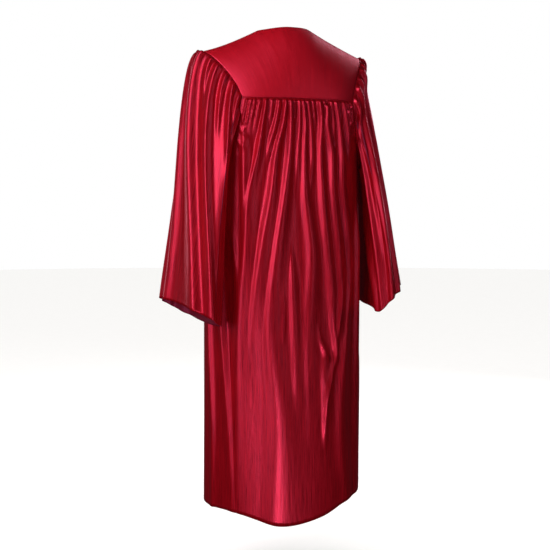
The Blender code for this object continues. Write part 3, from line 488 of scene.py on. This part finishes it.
def fold_lift(arc, z, places, start, end, top_width, middle_width, foot_width, rise):
    """How far one fold raises the cloth at each place."""
    path = smooth_curve(FOLD_HEIGHTS[::-1], [place / 1000 for place in places[::-1]])(z)
    down = (start - z) / (start - end)
    runs_out = end > -1.25
    width = smooth_curve((-1.27, -0.43, -0.19), (foot_width, middle_width, top_width))(z) / 1000
    sewn = start > -0.21
    swell = ease((start - z) / (0.009 if sewn else 0.160))
    if not sewn:
        width = width * (0.25 + 0.75 * ease((start - z) / 0.160))
    fade = 1.0 - ease((down - 0.40) / 0.60) if runs_out else 1.0 - 0.6 * ease((down - 0.35) / 0.65)
    apart = arc - path
    width = width * np.where((apart > 0) != (path > SIDE_PANEL), STEEP_SIDE, GENTLE_SIDE)
    lift = rise / 1000 * swell * fade * np.exp(-((apart / width) ** 2))
    return np.where((down < 0) | ((down > 1) & runs_out), 0.0, lift)


BODY_FOLDS = (*BACK_FOLDS, *pleat_rows())
BACK_CREASES = (
    # start, middle and end, each in mm from the centre back and mm below the yoke's seam; half width and rise
    # in mm
    ((157, 10), (146, 13), (128, 5), 2.4, 2.4),
    ((158, 17), (143, 22), (122, 9), 2.6, 2.8),
    ((159, 27), (140, 35), (112, 16), 3.0, 3.0),
    ((160, 40), (146, 60), (124, 34), 3.6, 3.6),
    ((163, 30), (156, 96), (142, 40), 4.2, 5.0),
    ((170, 62), (158, 112), (150, 66), 4.6, 4.4),
    ((176, 84), (164, 150), (150, 108), 5.0, 4.0),
    ((-156, 12), (-145, 18), (-131, 9), 2.4, 2.6),
    ((-158, 22), (-140, 34), (-122, 18), 2.8, 3.0),
    ((-162, 34), (-152, 82), (-136, 40), 4.2, 4.6),
    ((-168, 56), (-156, 116), (-143, 74), 4.8, 4.0),
    ((104, 2), (106, 12), (103, 24), 1.8, 2.6),
    ((95, 3), (91, 14), (92, 30), 1.8, 2.8),
    ((76, 2), (74, 10), (78, 20), 1.6, 2.4),
    ((57, 3), (60, 16), (66, 34), 2.0, 3.0),
    ((44, 2), (45, 10), (43, 22), 1.6, 2.4),
    ((31, 3), (33, 14), (31, 32), 1.8, 3.0),
    ((18, 2), (16, 9), (19, 20), 1.6, 2.4),
    ((7, 3), (5, 14), (6, 30), 1.8, 2.8),
    ((-4, 2), (-6, 12), (-9, 26), 1.8, 2.6),
    ((-19, 3), (-22, 16), (-27, 36), 2.0, 3.0),
    ((-35, 2), (-37, 10), (-40, 20), 1.6, 2.4),
    ((-52, 3), (-57, 14), (-60, 30), 1.8, 2.8),
    ((-74, 2), (-77, 12), (-76, 24), 1.6, 2.6),
    ((-86, 3), (-91, 14), (-96, 32), 1.9, 2.8),
    ((-99, 2), (-103, 10), (-107, 20), 1.6, 2.4),
    ((-111, 3), (-118, 16), (-124, 34), 2.0, 3.0),
    ((-125, 2), (-131, 12), (-136, 26), 1.8, 2.6),
    ((110, 3), (115, 14), (118, 30), 1.8, 2.6),
    ((134, 3), (137, 14), (143, 26), 1.8, 2.4),
    ((-34, 590), (-40, 668), (-84, 676), 6.0, 6.0),
    ((-88, 660), (-66, 730), (-47, 800), 8.0, 7.0),
    ((-58, 770), (-46, 830), (-50, 900), 7.0, 5.0),
    ((-66, 480), (-78, 600), (-92, 690), 7.0, 6.0),
    ((-106, 470), (-98, 560), (-86, 660), 7.0, 5.0),
    ((62, 500), (58, 560), (66, 640), 6.0, 4.0),
    ((196, 330), (176, 420), (182, 520), 8.0, 5.0),
)


def crease_lift(across_mm, down_mm, start, middle, end, width, rise):
    """A short crease along a bent line, highest at its middle and gone at its ends."""
    way = np.linspace(0.0, 1.0, 25)
    x = start[0] * (1 - way) ** 2 + 2 * middle[0] * way * (1 - way) + end[0] * way**2
    y = start[1] * (1 - way) ** 2 + 2 * middle[1] * way * (1 - way) + end[1] * way**2
    reach = 3 * width
    near = ((across_mm > x.min() - reach) & (across_mm < x.max() + reach)
            & (down_mm > y.min() - reach) & (down_mm < y.max() + reach))
    lift = np.zeros(np.shape(across_mm))
    apart = np.hypot(across_mm[near][:, None] - x, down_mm[near][:, None] - y)
    nearest = apart.argmin(axis=-1)
    taper = np.sin(math.pi * np.clip(way[nearest], 0.04, 0.96)) ** 0.7
    lift[near] = rise / 1000 * taper * np.exp(-((apart.min(axis=-1) / width) ** 2))
    return lift


def body_points(arc, z, seam_z):
    from_zip = half_round(z) - np.abs(arc) - FRONT_EDGE
    calm = ease((seam_z - z) / 0.006) * ease(from_zip / FLAT_FRONT)
    lifts = sum(fold_lift(arc, z, *row) ** 3 for row in BODY_FOLDS) ** (1 / 3)
    creases = sum(crease_lift(1000 * arc, 1000 * (YOKE_BACK_Z - z), *row) for row in BACK_CREASES)
    return body_surface(arc, z, calm * lifts + ease((seam_z - z) / 0.004) * creases)


BACK_CORNER = YOKE_BACK_ARC / float(side_arc(YOKE_BACK_Z))


def back_top(share):
    """Height of the back's top edge; share runs from 0 at the centre back to 1 at the side seam."""
    hole = ARMHOLE_BACK_HEIGHT((share - BACK_CORNER) / (1 - BACK_CORNER))
    return np.where(share <= BACK_CORNER, YOKE_BACK_Z, hole)


def back_panel(across, down):
    share = 1 - 2 * across
    top = back_top(np.abs(share)) - SEAM_GAP
    z = between(top, HEM_HEIGHT(share), down**1.5)
    reach = side_arc(z) - SEAM_GAP / 2
    return body_points(share * reach, z, top), np.stack([share * 0.55, z], axis=-1)


back_piece = cloth("back_panel", 310, 150, back_panel, GOWN_SATIN, "back")

# The fronts: one panel of the satin each side of the zip, laid in pressed pleats under the front yoke, with
# the edge beside the zip folded under.
ARMHOLE_FRONT = ((0.0, YOKE_FRONT_Z), (0.10, -0.222), (0.28, -0.292), (0.55, -0.334), (1.0, UNDERARM_Z))
ARMHOLE_FRONT_HEIGHT = smooth_curve(*zip(*ARMHOLE_FRONT))
FRONT_CORNER = float(1 - YOKE_FRONT_ARC / (half_round(YOKE_FRONT_Z) - side_arc(YOKE_FRONT_Z)))
ZIP_FOOT_SHARE = 0.84


def front_top(share):
    """Height of a front's top edge; share runs from 0 at the side seam to 1 at the centre front."""
    hole = ARMHOLE_FRONT_HEIGHT(np.clip((FRONT_CORNER - share) / FRONT_CORNER, 0, 1))
    return np.where(share >= FRONT_CORNER, YOKE_FRONT_Z, hole)


def front_panel(side):
    def place(across, down):
        share = 1 - across if side > 0 else across
        top = front_top(share) - SEAM_GAP
        drop = down**1.4
        z = between(top, HEM_HEIGHT(side * (1 + share)), drop)
        edge = between(FRONT_EDGE, SEAM_GAP / 2, ease((drop - ZIP_FOOT_SHARE) / 0.02))
        start = side_arc(z) + SEAM_GAP / 2
        end = half_round(z) - edge
        arc = side * (start + (end - start) * share)
        return body_points(arc, z, top), np.stack([side * (1 + share) * 0.55, z], axis=-1)

    return place


for label, side in (("left", 1), ("right", -1)):
    node = "front_" + label
    piece = cloth("front_panel_" + label, 170, 140, front_panel(side), GOWN_SATIN, node)

# The sleeves: wide bells of the same satin, gathered over the shoulder into the armhole and joined under the
# arm. The folds run from the gathers to the cuff.
CUFF_CENTRE = np.array((0.274, 0.040, -0.7375))
CUFF_HALF_WIDTH = 0.050
CUFF_HALF_DEPTH = 0.120
CUFF_YAW = math.radians(11)
CUFF_RISE_OUT = 0.60
CUFF_RISE_BACK = -0.12
SLEEVE_STAND_OFF = 0.0012
SLEEVE_HANG = (
    # share of the way down the sleeve; how far the left sleeve hangs in; how far the right one does; how far
    # both hang back
    (0.00, 0.000, 0.000, 0.000),
    (0.08, -0.002, 0.002, -0.004),
    (0.20, -0.006, -0.015, -0.010),
    (0.45, -0.013, -0.023, -0.010),
    (0.70, -0.011, -0.018, -0.002),
    (1.00, 0.000, -0.004, 0.000),
)
HANG_IN_LEFT, HANG_IN_RIGHT, HANG_BACK = (
    smooth_curve([row[0] for row in SLEEVE_HANG], [row[column] for row in SLEEVE_HANG])
    for column in (1, 2, 3)
)
RIGHT_CUFF_RAISED = 0.038
RIGHT_CUFF_DROOP = (0.165, 0.060, 0.021)  # turn at its middle, half width in turns, how far it falls


def even_line(line):
    """Reads a line of points by its share of arc length."""
    steps = np.linalg.norm(np.diff(line, axis=0), axis=-1)
    arc = np.concatenate([[0.0], np.cumsum(steps)]) / steps.sum()

    def read(share):
        return np.stack([np.interp(share, arc, line[:, axis]) for axis in range(3)], axis=-1)

    return read


def armhole_edges(side):
    """Lines from the underarm to the shoulder, up the back and up the front, kept on the wearer's left."""
    step = np.linspace(0.0, 1.0, 160)
    share = between(1.0, BACK_CORNER, step)
    z = back_top(share)
    yoke = back_yoke_surface(np.full(159, side * 1.0), 1 - step[1:])
    yoke[:, 0] *= side
    back = np.concatenate([body_surface(share * side_arc(z), z), yoke])
    share = step * FRONT_CORNER
    z = front_top(share)
    arc = between(side_arc(z), half_round(z), share)
    front = np.concatenate([body_surface(arc, z), front_yoke_surface(np.zeros(159), 1 - step[1:], side)])
    return even_line(back), even_line(front)


def sleeve_surface(turn, down, edges, side):
    """turn runs from 0 at the underarm, up the back to 0.5 at the shoulder, and down the front to 1."""
    up_back, up_front = edges
    start = np.where((turn <= 0.5)[..., None], up_back(turn * 2), up_front((1 - turn) * 2))
    angle = 2 * math.pi * turn
    across = -CUFF_HALF_WIDTH * np.cos(angle)
    along = CUFF_HALF_DEPTH * np.sin(angle)
    end = CUFF_CENTRE + points(across * math.cos(CUFF_YAW) - along * math.sin(CUFF_YAW),
                               across * math.sin(CUFF_YAW) + along * math.cos(CUFF_YAW),
                               CUFF_RISE_OUT * across + CUFF_RISE_BACK * along)
    if side < 0:
        middle, half_width, fall = RIGHT_CUFF_DROOP
        end[..., 2] += RIGHT_CUFF_RAISED - fall * np.exp(-(((turn - middle) / half_width) ** 2))
    top = (np.sin(math.pi * turn) ** 2)[..., None]
    fore = np.sin(angle)
    length = np.linalg.norm(end - start, axis=-1, keepdims=True)
    leave = between(np.array((0.10, 0.0, -0.20)), np.array((0.150, 0.0, -0.030)), top)
    leave = leave + points(0.02, 0.06 * fore, -0.10) * np.abs(fore)[..., None]
    arrive = between(np.array((0.010, 0.02, -0.90)), np.array((0.085, 0.02, -0.90)), top) * length
    hang_in = HANG_IN_LEFT if side > 0 else HANG_IN_RIGHT
    hang = points(hang_in(down), HANG_BACK(down), 0.0) * top
    return hermite(start, leave, end, arrive, down) + hang


FRONT_OF_SLEEVE = (
    # turn at the armhole, at the elbow and at the cuff; start, end; half width at the top and foot in mm;
    # rise in mm
    (0.545, 0.570, 0.580, 0.00, 0.30, 4.5, 8, 9.0),
    (0.590, 0.615, 0.630, 0.00, 1.00, 5.0, 17, 13.0),
    (0.625, 0.650, 0.670, 0.00, 0.20, 4.0, 6, 8.0),
    (0.670, 0.710, 0.720, 0.00, 1.00, 5.0, 18, 13.0),
    (0.710, 0.740, 0.740, 0.00, 0.24, 4.5, 7, 9.0),
    (0.750, 0.800, 0.810, 0.02, 1.00, 5.0, 17, 12.0),
    (0.800, 0.840, 0.840, 0.03, 0.40, 5.0, 9, 9.0),
    (0.860, 0.880, 0.900, 0.05, 1.00, 7.0, 18, 9.0),
)
SLEEVE_FOLDS = {
    1: (
        (0.100, 0.090, 0.080, 0.08, 1.00, 7.0, 18, 10.0),
        (0.190, 0.170, 0.150, 0.03, 1.00, 5.0, 17, 13.0),
        (0.240, 0.220, 0.210, 0.02, 0.34, 5.0, 9, 10.0),
        (0.285, 0.270, 0.260, 0.00, 0.22, 4.5, 7, 9.0),
        (0.325, 0.275, 0.255, 0.00, 0.50, 4.5, 11, 12.0),
        (0.358, 0.345, 0.330, 0.00, 0.40, 4.0, 7, 10.0),
        (0.395, 0.385, 0.265, 0.00, 1.00, 4.5, 20, 18.0),
        (0.428, 0.420, 0.410, 0.00, 0.44, 4.0, 7, 10.0),
        (0.470, 0.470, 0.375, 0.00, 1.00, 4.5, 22, 20.0),
        (0.500, 0.505, 0.500, 0.00, 0.32, 4.0, 7, 9.0),
        (0.530, 0.535, 0.540, 0.00, 1.00, 4.5, 20, 20.0),
        *FRONT_OF_SLEEVE,
    ),
    -1: (
        (0.100, 0.065, 0.140, 0.10, 1.00, 6.0, 16, 11.0),
        (0.180, 0.170, 0.180, 0.05, 1.00, 5.0, 14, 13.0),
        (0.235, 0.225, 0.215, 0.02, 0.34, 5.0, 9, 9.0),
        (0.280, 0.270, 0.260, 0.00, 0.24, 4.5, 7, 9.0),
        (0.325, 0.300, 0.255, 0.00, 1.00, 5.0, 17, 17.0),
        (0.360, 0.345, 0.340, 0.00, 0.20, 4.0, 6, 8.0),
        (0.400, 0.385, 0.340, 0.00, 1.00, 5.0, 16, 15.0),
        (0.432, 0.420, 0.410, 0.00, 0.18, 4.0, 6, 8.0),
        (0.465, 0.460, 0.420, 0.00, 1.00, 5.0, 18, 14.0),
        (0.492, 0.480, 0.480, 0.00, 0.22, 4.0, 6, 8.0),
        (0.530, 0.530, 0.520, 0.00, 1.00, 4.5, 18, 13.0),
        *FRONT_OF_SLEEVE,
    ),
}
SLEEVE_SINK = 0.003
STEEP_FLANK = 0.75
GENTLE_FLANK = 1.35


def sleeve_lift(turn, down, folds):
    total = 0.0
    girth = between(0.62, 0.66, down)
    for at_top, at_elbow, at_cuff, start, end, top_width, foot_width, rise in folds:
        place = smooth_curve((0.0, 0.45, 1.0), (at_top, at_elbow, at_cuff))(down)
        run = (down - start) / (end - start)
        width = between(top_width, foot_width, np.clip(run, 0, 1) ** 0.6) / 1000
        width = width * np.where(turn < place, STEEP_FLANK, GENTLE_FLANK)
        fade = 1.0 - 0.3 * ease((run - 0.3) / 0.7) if end >= 1 else 1.0 - ease((run - 0.4) / 0.6)
        grow = between(0.65, 1.0, ease(down / 0.5)) if end >= 1 else 1.0
        bell = np.exp(-(((turn - place) * girth / width) ** 2))
        lift = rise / 1000 * grow * ease((down - start) / 0.04) * fade * bell
        total = total + np.where((run < 0) | ((run > 1) & (end < 1)), 0.0, lift) ** 2
    return total ** (1 / 2) - SLEEVE_SINK * ease((down - 0.05) / 0.3)


def sleeve(side):
    edges = armhole_edges(side)

    def place(across, down):
        turn = (1 - across if side > 0 else across) % 1.0
        drop = down**1.3
        spot = sleeve_surface(turn, drop, edges, side)
        step = 0.004
        ahead = sleeve_surface((turn + step) % 1.0, drop, edges, side)
        behind = sleeve_surface((turn - step) % 1.0, drop, edges, side)
        lower = sleeve_surface(turn, np.minimum(1.0, drop + step), edges, side)
        higher = sleeve_surface(turn, np.maximum(0.0, drop - step), edges, side)
        out = np.cross(ahead - behind, lower - higher)
        out /= np.linalg.norm(out, axis=-1, keepdims=True)
        spot += out * sleeve_lift(turn, drop, SLEEVE_FOLDS[side])[..., None]
        spot[..., 0] += SLEEVE_STAND_OFF
        spot[..., 0] *= side
        return spot, np.stack([side * across * 0.8, -0.68 * drop], axis=-1)

    return place


for label, side in (("left", 1), ("right", -1)):
    node = "sleeve_" + label
    piece = cloth("bell_sleeve_" + label, 260, 120, sleeve(side), GOWN_SATIN, node, closed=True)

# The stitching: rows of crimson polyester lockstitch that hold down the narrow turned hem, the turned cuffs
# and the fronts' folded edges on the zip's tapes. Each stitch is a short raised thread on the cloth.
STITCH_LENGTH = 0.0030
STITCH_STEP = 0.0042
THREAD_RADIUS = 0.00024
HEM_DEPTH = 0.010
BODY_LENGTH = 1.07
SLEEVE_LENGTH = 0.57
BACK_ROWS, FRONT_ROWS, SLEEVE_ROWS = 1.5, 1.4, 1.3  # powers by which each piece's rows crowd towards its top
SLEEVE_MIDDLE = (0.262, 0.035)
NEARBY = 0.002  # share of a piece, across which its slope is read
ROW_STEPS = 900
ZIP_STITCH_IN = 0.0070  # from the centre line to the row beside the zip
ZIP_STITCH_Z = -0.6  # the height at which that distance is exact


def thread_material():
    """Spun polyester: duller and darker than the satin, so it reads as a fine broken line."""
    made = bpy.data.materials.new("crimson_polyester_thread")
    made.use_nodes = True
    tree = made.node_tree
    shader = tree.nodes["Principled BSDF"]
    place = add(tree, "ShaderNodeTexCoord", {}).outputs["Object"]
    twist = add(tree, "ShaderNodeTexNoise", {"Vector": place, "Scale": 1000 / 0.8, "Detail": 1.0})
    tone = add(tree, "ShaderNodeMix", {"Factor": twist.outputs["Fac"], "A": linear("780416"),
                                       "B": linear("b01030")}, data_type="RGBA")
    plies = add(tree, "ShaderNodeBump",
                {"Height": twist.outputs["Fac"], "Strength": 0.3, "Distance": 0.0001})
    tree.links.new(tone.outputs["Result"], shader.inputs["Base Color"])
    tree.links.new(plies.outputs["Normal"], shader.inputs["Normal"])
    shader.inputs["Roughness"].default_value = 0.5
    return made


THREAD = thread_material()
# A direction in which no two faces of a small ball are level.
UNEVEN = (1.0, 9.1, 97.0)


def copies(name, sides, rings, frames):
    """One mesh of small balls, each stretched and turned by one of the frames."""
    ball = bmesh.new()
    bmesh.ops.create_uvsphere(ball, u_segments=sides, v_segments=rings, radius=1.0)
    # A new ball lists its faces in another order in each run, so they are put in one order.
    ball.faces.sort(key=lambda face: face.calc_center_median().dot(UNEVEN))
    unit = bpy.data.meshes.new(name + "_unit")
    ball.to_mesh(unit)
    ball.free()
    flat = np.empty(len(unit.vertices) * 3, np.float32)
    unit.vertices.foreach_get("co", flat)
    shape = np.column_stack([flat.reshape(-1, 3), np.ones(len(unit.vertices))])
    joined = bmesh.new()
    for placed in frames:
        unit.vertices.foreach_set("co", (shape @ np.array(placed).T)[:, :3].astype(np.float32).ravel())
        joined.from_mesh(unit)
    mesh = bpy.data.meshes.new(name)
    joined.to_mesh(mesh)
    joined.free()
    bpy.data.meshes.remove(unit)
    mesh.shade_smooth()
    piece = bpy.data.objects.new(name, mesh)
    bpy.context.scene.collection.objects.link(piece)
    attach(piece, "gown")
    return piece


def stitching(name, place, across, down, middle):
    """A row of stitches along a line over a piece, whose middle is (x, y) inside it."""
    line = place(across, down)[0]
    run = np.concatenate([[0.0], np.cumsum(np.linalg.norm(np.diff(line, axis=0), axis=-1))])
    steps = np.arange(STITCH_STEP / 2, run[-1], STITCH_STEP)
    across, down = np.interp(steps, run, across), np.interp(steps, run, down)
    spots = place(across, down)[0]
    ahead = place(np.minimum(across + NEARBY, 1.0), down)[0]
    behind = place(np.maximum(across - NEARBY, 0.0), down)[0]
    lower = place(across, np.minimum(down + NEARBY, 1.0))[0]
    higher = place(across, np.maximum(down - NEARBY, 0.0))[0]
    out = np.cross(ahead - behind, lower - higher)
    out /= np.linalg.norm(out, axis=-1, keepdims=True)
    if np.mean((out[:, :2] * (spots[:, :2] - np.array(middle))).sum(axis=-1)) < 0:
        out = -out
    along = np.gradient(spots, axis=0)
    along /= np.linalg.norm(along, axis=-1, keepdims=True)
    frames = []
    for spot, way, up in zip(spots, along, out):
        aside = np.cross(way, up)
        axes = np.column_stack([aside * THREAD_RADIUS, up * THREAD_RADIUS, way * STITCH_LENGTH / 2])
        frames.append(np.vstack([np.column_stack([axes, spot + up * THREAD_RADIUS / 2]), [0, 0, 0, 1]]))
    piece = copies(name, 6, 4, frames)
    piece.data.materials.append(THREAD)


def hem_share(length, power):
    """How far down a piece's rows its hem's stitching runs."""
    return (1 - HEM_DEPTH / length) ** (1 / power)


even = np.linspace(0.004, 0.996, ROW_STEPS)
level = np.ones(ROW_STEPS)
stitching("hem_stitching_back", back_panel, even, level * hem_share(BODY_LENGTH, BACK_ROWS), (0.0, 0.0))
for label, side in (("left", 1), ("right", -1)):
    panel = front_panel(side)
    at_hem = level * hem_share(BODY_LENGTH, FRONT_ROWS)
    stitching("hem_stitching_front_" + label, panel, even, at_hem, (0.0, 0.0))
    beside_zip = np.linspace(0.01, ZIP_FOOT_SHARE ** (1 / FRONT_ROWS), ROW_STEPS)
    panel_width = half_round(ZIP_STITCH_Z) - side_arc(ZIP_STITCH_Z)
    share = 1 - (ZIP_STITCH_IN - FRONT_EDGE) / panel_width
    beside = level * (1 - share if side > 0 else share)
    stitching("zip_stitching_" + label, panel, beside, beside_zip, (0.0, 0.0))
    at_cuff = level * hem_share(SLEEVE_LENGTH, SLEEVE_ROWS)
    middle = (side * SLEEVE_MIDDLE[0], SLEEVE_MIDDLE[1])
    stitching("cuff_stitching_" + label, sleeve(side), even, at_cuff, middle)

# The zip: woven polyester tapes behind the fronts' folded edges, a nylon coil between them, and a die-cast,
# plated zinc slider with its pull tab. The tapes, slider and tab keep the form that they have in the CAD.


def grained(name, first, second, size_mm, metallic, roughness, ribs):
    """A finish in two near tones with a fine grain; ribs is the pitch of a weave in mm, or 0 for none."""
    made = bpy.data.materials.new(name)
    made.use_nodes = True
    tree = made.node_tree
    shader = tree.nodes["Principled BSDF"]
    place = add(tree, "ShaderNodeTexCoord", {}).outputs["Object"]
    grain = add(tree, "ShaderNodeTexNoise", {"Vector": place, "Scale": 1000 / size_mm, "Detail": 4.0})
    height = grain.outputs["Fac"]
    if ribs:
        weave = add(tree, "ShaderNodeTexWave",
                    {"Vector": place, "Scale": 1000 / ribs / 20, "Distortion": 0.6},
                    bands_direction="DIAGONAL")
        height = weave.outputs["Fac"]
    tone = add(tree, "ShaderNodeMix",
               {"Factor": grain.outputs["Fac"], "A": linear(first), "B": linear(second)}, data_type="RGBA")
    rough = add(tree, "ShaderNodeMapRange", {"Value": grain.outputs["Fac"], "From Min": 0.3, "From Max": 0.7,
                                             "To Min": roughness - 0.06, "To Max": roughness + 0.06})
    relief = add(tree, "ShaderNodeBump", {"Height": height, "Strength": 0.25, "Distance": 0.0001})
    tree.links.new(tone.outputs["Result"], shader.inputs["Base Color"])
    tree.links.new(rough.outputs["Result"], shader.inputs["Roughness"])
    tree.links.new(relief.outputs["Normal"], shader.inputs["Normal"])
    shader.inputs["Metallic"].default_value = metallic
    return made


# The tapes: matt polyester in a ribbed weave, a little duller than the satin beside them.
TAPE = grained("woven_polyester_tape", "860620", "a00c2a", 0.7, 0.0, 0.78, 1.2)
# The coil: smooth dyed monofilament, with a small dull glint on each turn.
NYLON = grained("dyed_nylon_coil", "7c0620", "9a0c28", 1.5, 0.0, 0.42, 0)
# The slider and tab: bright grey plating with a faintly uneven polish.
ZINC = grained("plated_zinc", "b4b2ae", "d6d4d0", 0.9, 1.0, 0.28, 0)
ZIP_FINISHES = (
    # node, finish
    ("zip_tape_left", TAPE),
    ("zip_tape_right", TAPE),
    ("zip_slider", ZINC),
    ("zip_pull", ZINC),
)
for name, finish in ZIP_FINISHES:
    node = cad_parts[name]
    node.data.materials.clear()
    node.data.materials.append(finish)

TOOTH_SIZE = (0.0016, 0.0007, 0.00050)  # half width, half depth and half height of one turn of the coil
TOOTH_PITCH = 0.0017
TOOTH_OUT = 0.0008  # from the centre line to the middle of a turn
TOOTH_BACK = 0.0003  # from the outer face of the fronts to the middle of a turn
COIL_TOP, COIL_FOOT = -0.1385, -1.068
turns = []
for number, z in enumerate(np.arange(COIL_TOP, COIL_FOOT, -TOOTH_PITCH / 2)):
    y = TOOTH_BACK - float(DEPTH_IN_FRONT(min(z, YOKE_FRONT_Z)))
    spot = (TOOTH_OUT if number % 2 else -TOOTH_OUT, y, z)
    turns.append(Matrix.Translation(spot) @ Matrix.Diagonal((*TOOTH_SIZE, 1.0)))
coil_turns = copies("zip_coil_turns", 8, 5, turns)
coil_turns.data.materials.append(NYLON)
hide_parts("zip_coil")

# The studio: a pale floor under the hem, a large soft light from the wearer's left and weaker ones round it,
# and a surround that is white to the eye and dim to the cloth.
FLOOR_Z = -1.46
FLOOR_RADIUS = 14.0
FLOOR_LIGHT = 3.3
SURROUND_TO_CLOTH = 0.02
floor_mesh = bpy.data.meshes.new("floor")
disc = bmesh.new()
bmesh.ops.create_circle(disc, cap_ends=True, segments=96, radius=FLOOR_RADIUS)
bmesh.ops.translate(disc, vec=(0.0, 0.0, FLOOR_Z), verts=disc.verts)
disc.to_mesh(floor_mesh)
disc.free()
floor = bpy.data.objects.new("floor", floor_mesh)
bpy.context.scene.collection.objects.link(floor)
floor_mesh.materials.append(grained("pale_painted_floor", "f2f1ef", "f6f5f3", 40.0, 0.0, 0.88, 0))
floor.visible_glossy = False
floor.visible_diffuse = False
floor.visible_shadow = False
only_floor = bpy.data.collections.new("lit_floor")
only_floor.objects.link(floor)
sun = bpy.data.objects.new("floor_light", bpy.data.lights.new("floor_light", "SUN"))
sun.data.energy = FLOOR_LIGHT
sun.data.angle = math.radians(120)
sun.light_linking.receiver_collection = only_floor
bpy.context.scene.collection.objects.link(sun)


def soft_light(name, azimuth, height, distance, width, tall, power, tint, aim_z):
    """A flat softbox at that azimuth and height, facing the gown."""
    light = bpy.data.lights.new(name, "AREA")
    light.shape = "RECTANGLE"
    light.size = width
    light.size_y = tall
    light.energy = power
    light.color = linear(tint)[:3]
    lamp = bpy.data.objects.new(name, light)
    turn = math.radians(azimuth)
    lamp.location = (math.sin(turn) * distance, -math.cos(turn) * distance, height)
    toward = Vector((0.0, 0.0, aim_z)) - lamp.location
    lamp.rotation_euler = toward.to_track_quat("-Z", "Y").to_euler()
    bpy.context.scene.collection.objects.link(lamp)
    return lamp


LIGHTS = (
    # name, azimuth in degrees, height, distance, width, tall, power, tint, height that it faces
    ("key", 119, 0.5, 2.5, 1.1, 2.2, 36, "ffe4f0", -0.6),
    ("high", 112, 1.5, 2.2, 1.2, 1.0, 28, "ffe2f2", -0.1),
    ("low", 126, -1.1, 2.6, 0.8, 0.9, 6, "ffe2f2", -1.0),
    ("floor_glow", 169, -1.66, 2.4, 0.6, 0.6, 12, "ffe2f2", -1.15),
    ("left", 60, 0.0, 2.8, 1.0, 2.2, 2, "ffffff", -0.6),
    ("right", 215, 0.0, 3.0, 0.4, 2.2, 5, "ffffff", -0.6),
    ("top", 156, 2.2, 2.0, 1.6, 1.0, 2, "ffffff", -0.6),
    ("front_key", -60, 0.5, 2.8, 1.0, 2.2, 34, "ffffff", -0.6),
    ("front_side", 25, 0.3, 3.0, 0.6, 2.4, 12, "ffffff", -0.6),
)
lamps = {row[0]: soft_light(*row) for row in LIGHTS}
only_yokes = bpy.data.collections.new("lit_yokes")
for piece in YOKES:
    only_yokes.objects.link(piece)
lamps["high"].light_linking.receiver_collection = only_yokes

world = bpy.data.worlds.new("studio")
bpy.context.scene.world = world
world.use_nodes = True
tree = world.node_tree
seen = add(tree, "ShaderNodeLightPath", {}).outputs["Is Camera Ray"]
strength = add(tree, "ShaderNodeMapRange", {"Value": seen, "To Min": SURROUND_TO_CLOTH, "To Max": 1.0})
tree.nodes["Background"].inputs["Color"].default_value = (1.0, 1.0, 1.0, 1.0)
tree.links.new(strength.outputs["Result"], tree.nodes["Background"].inputs["Strength"])
bpy.context.scene.view_settings.view_transform = "Standard"
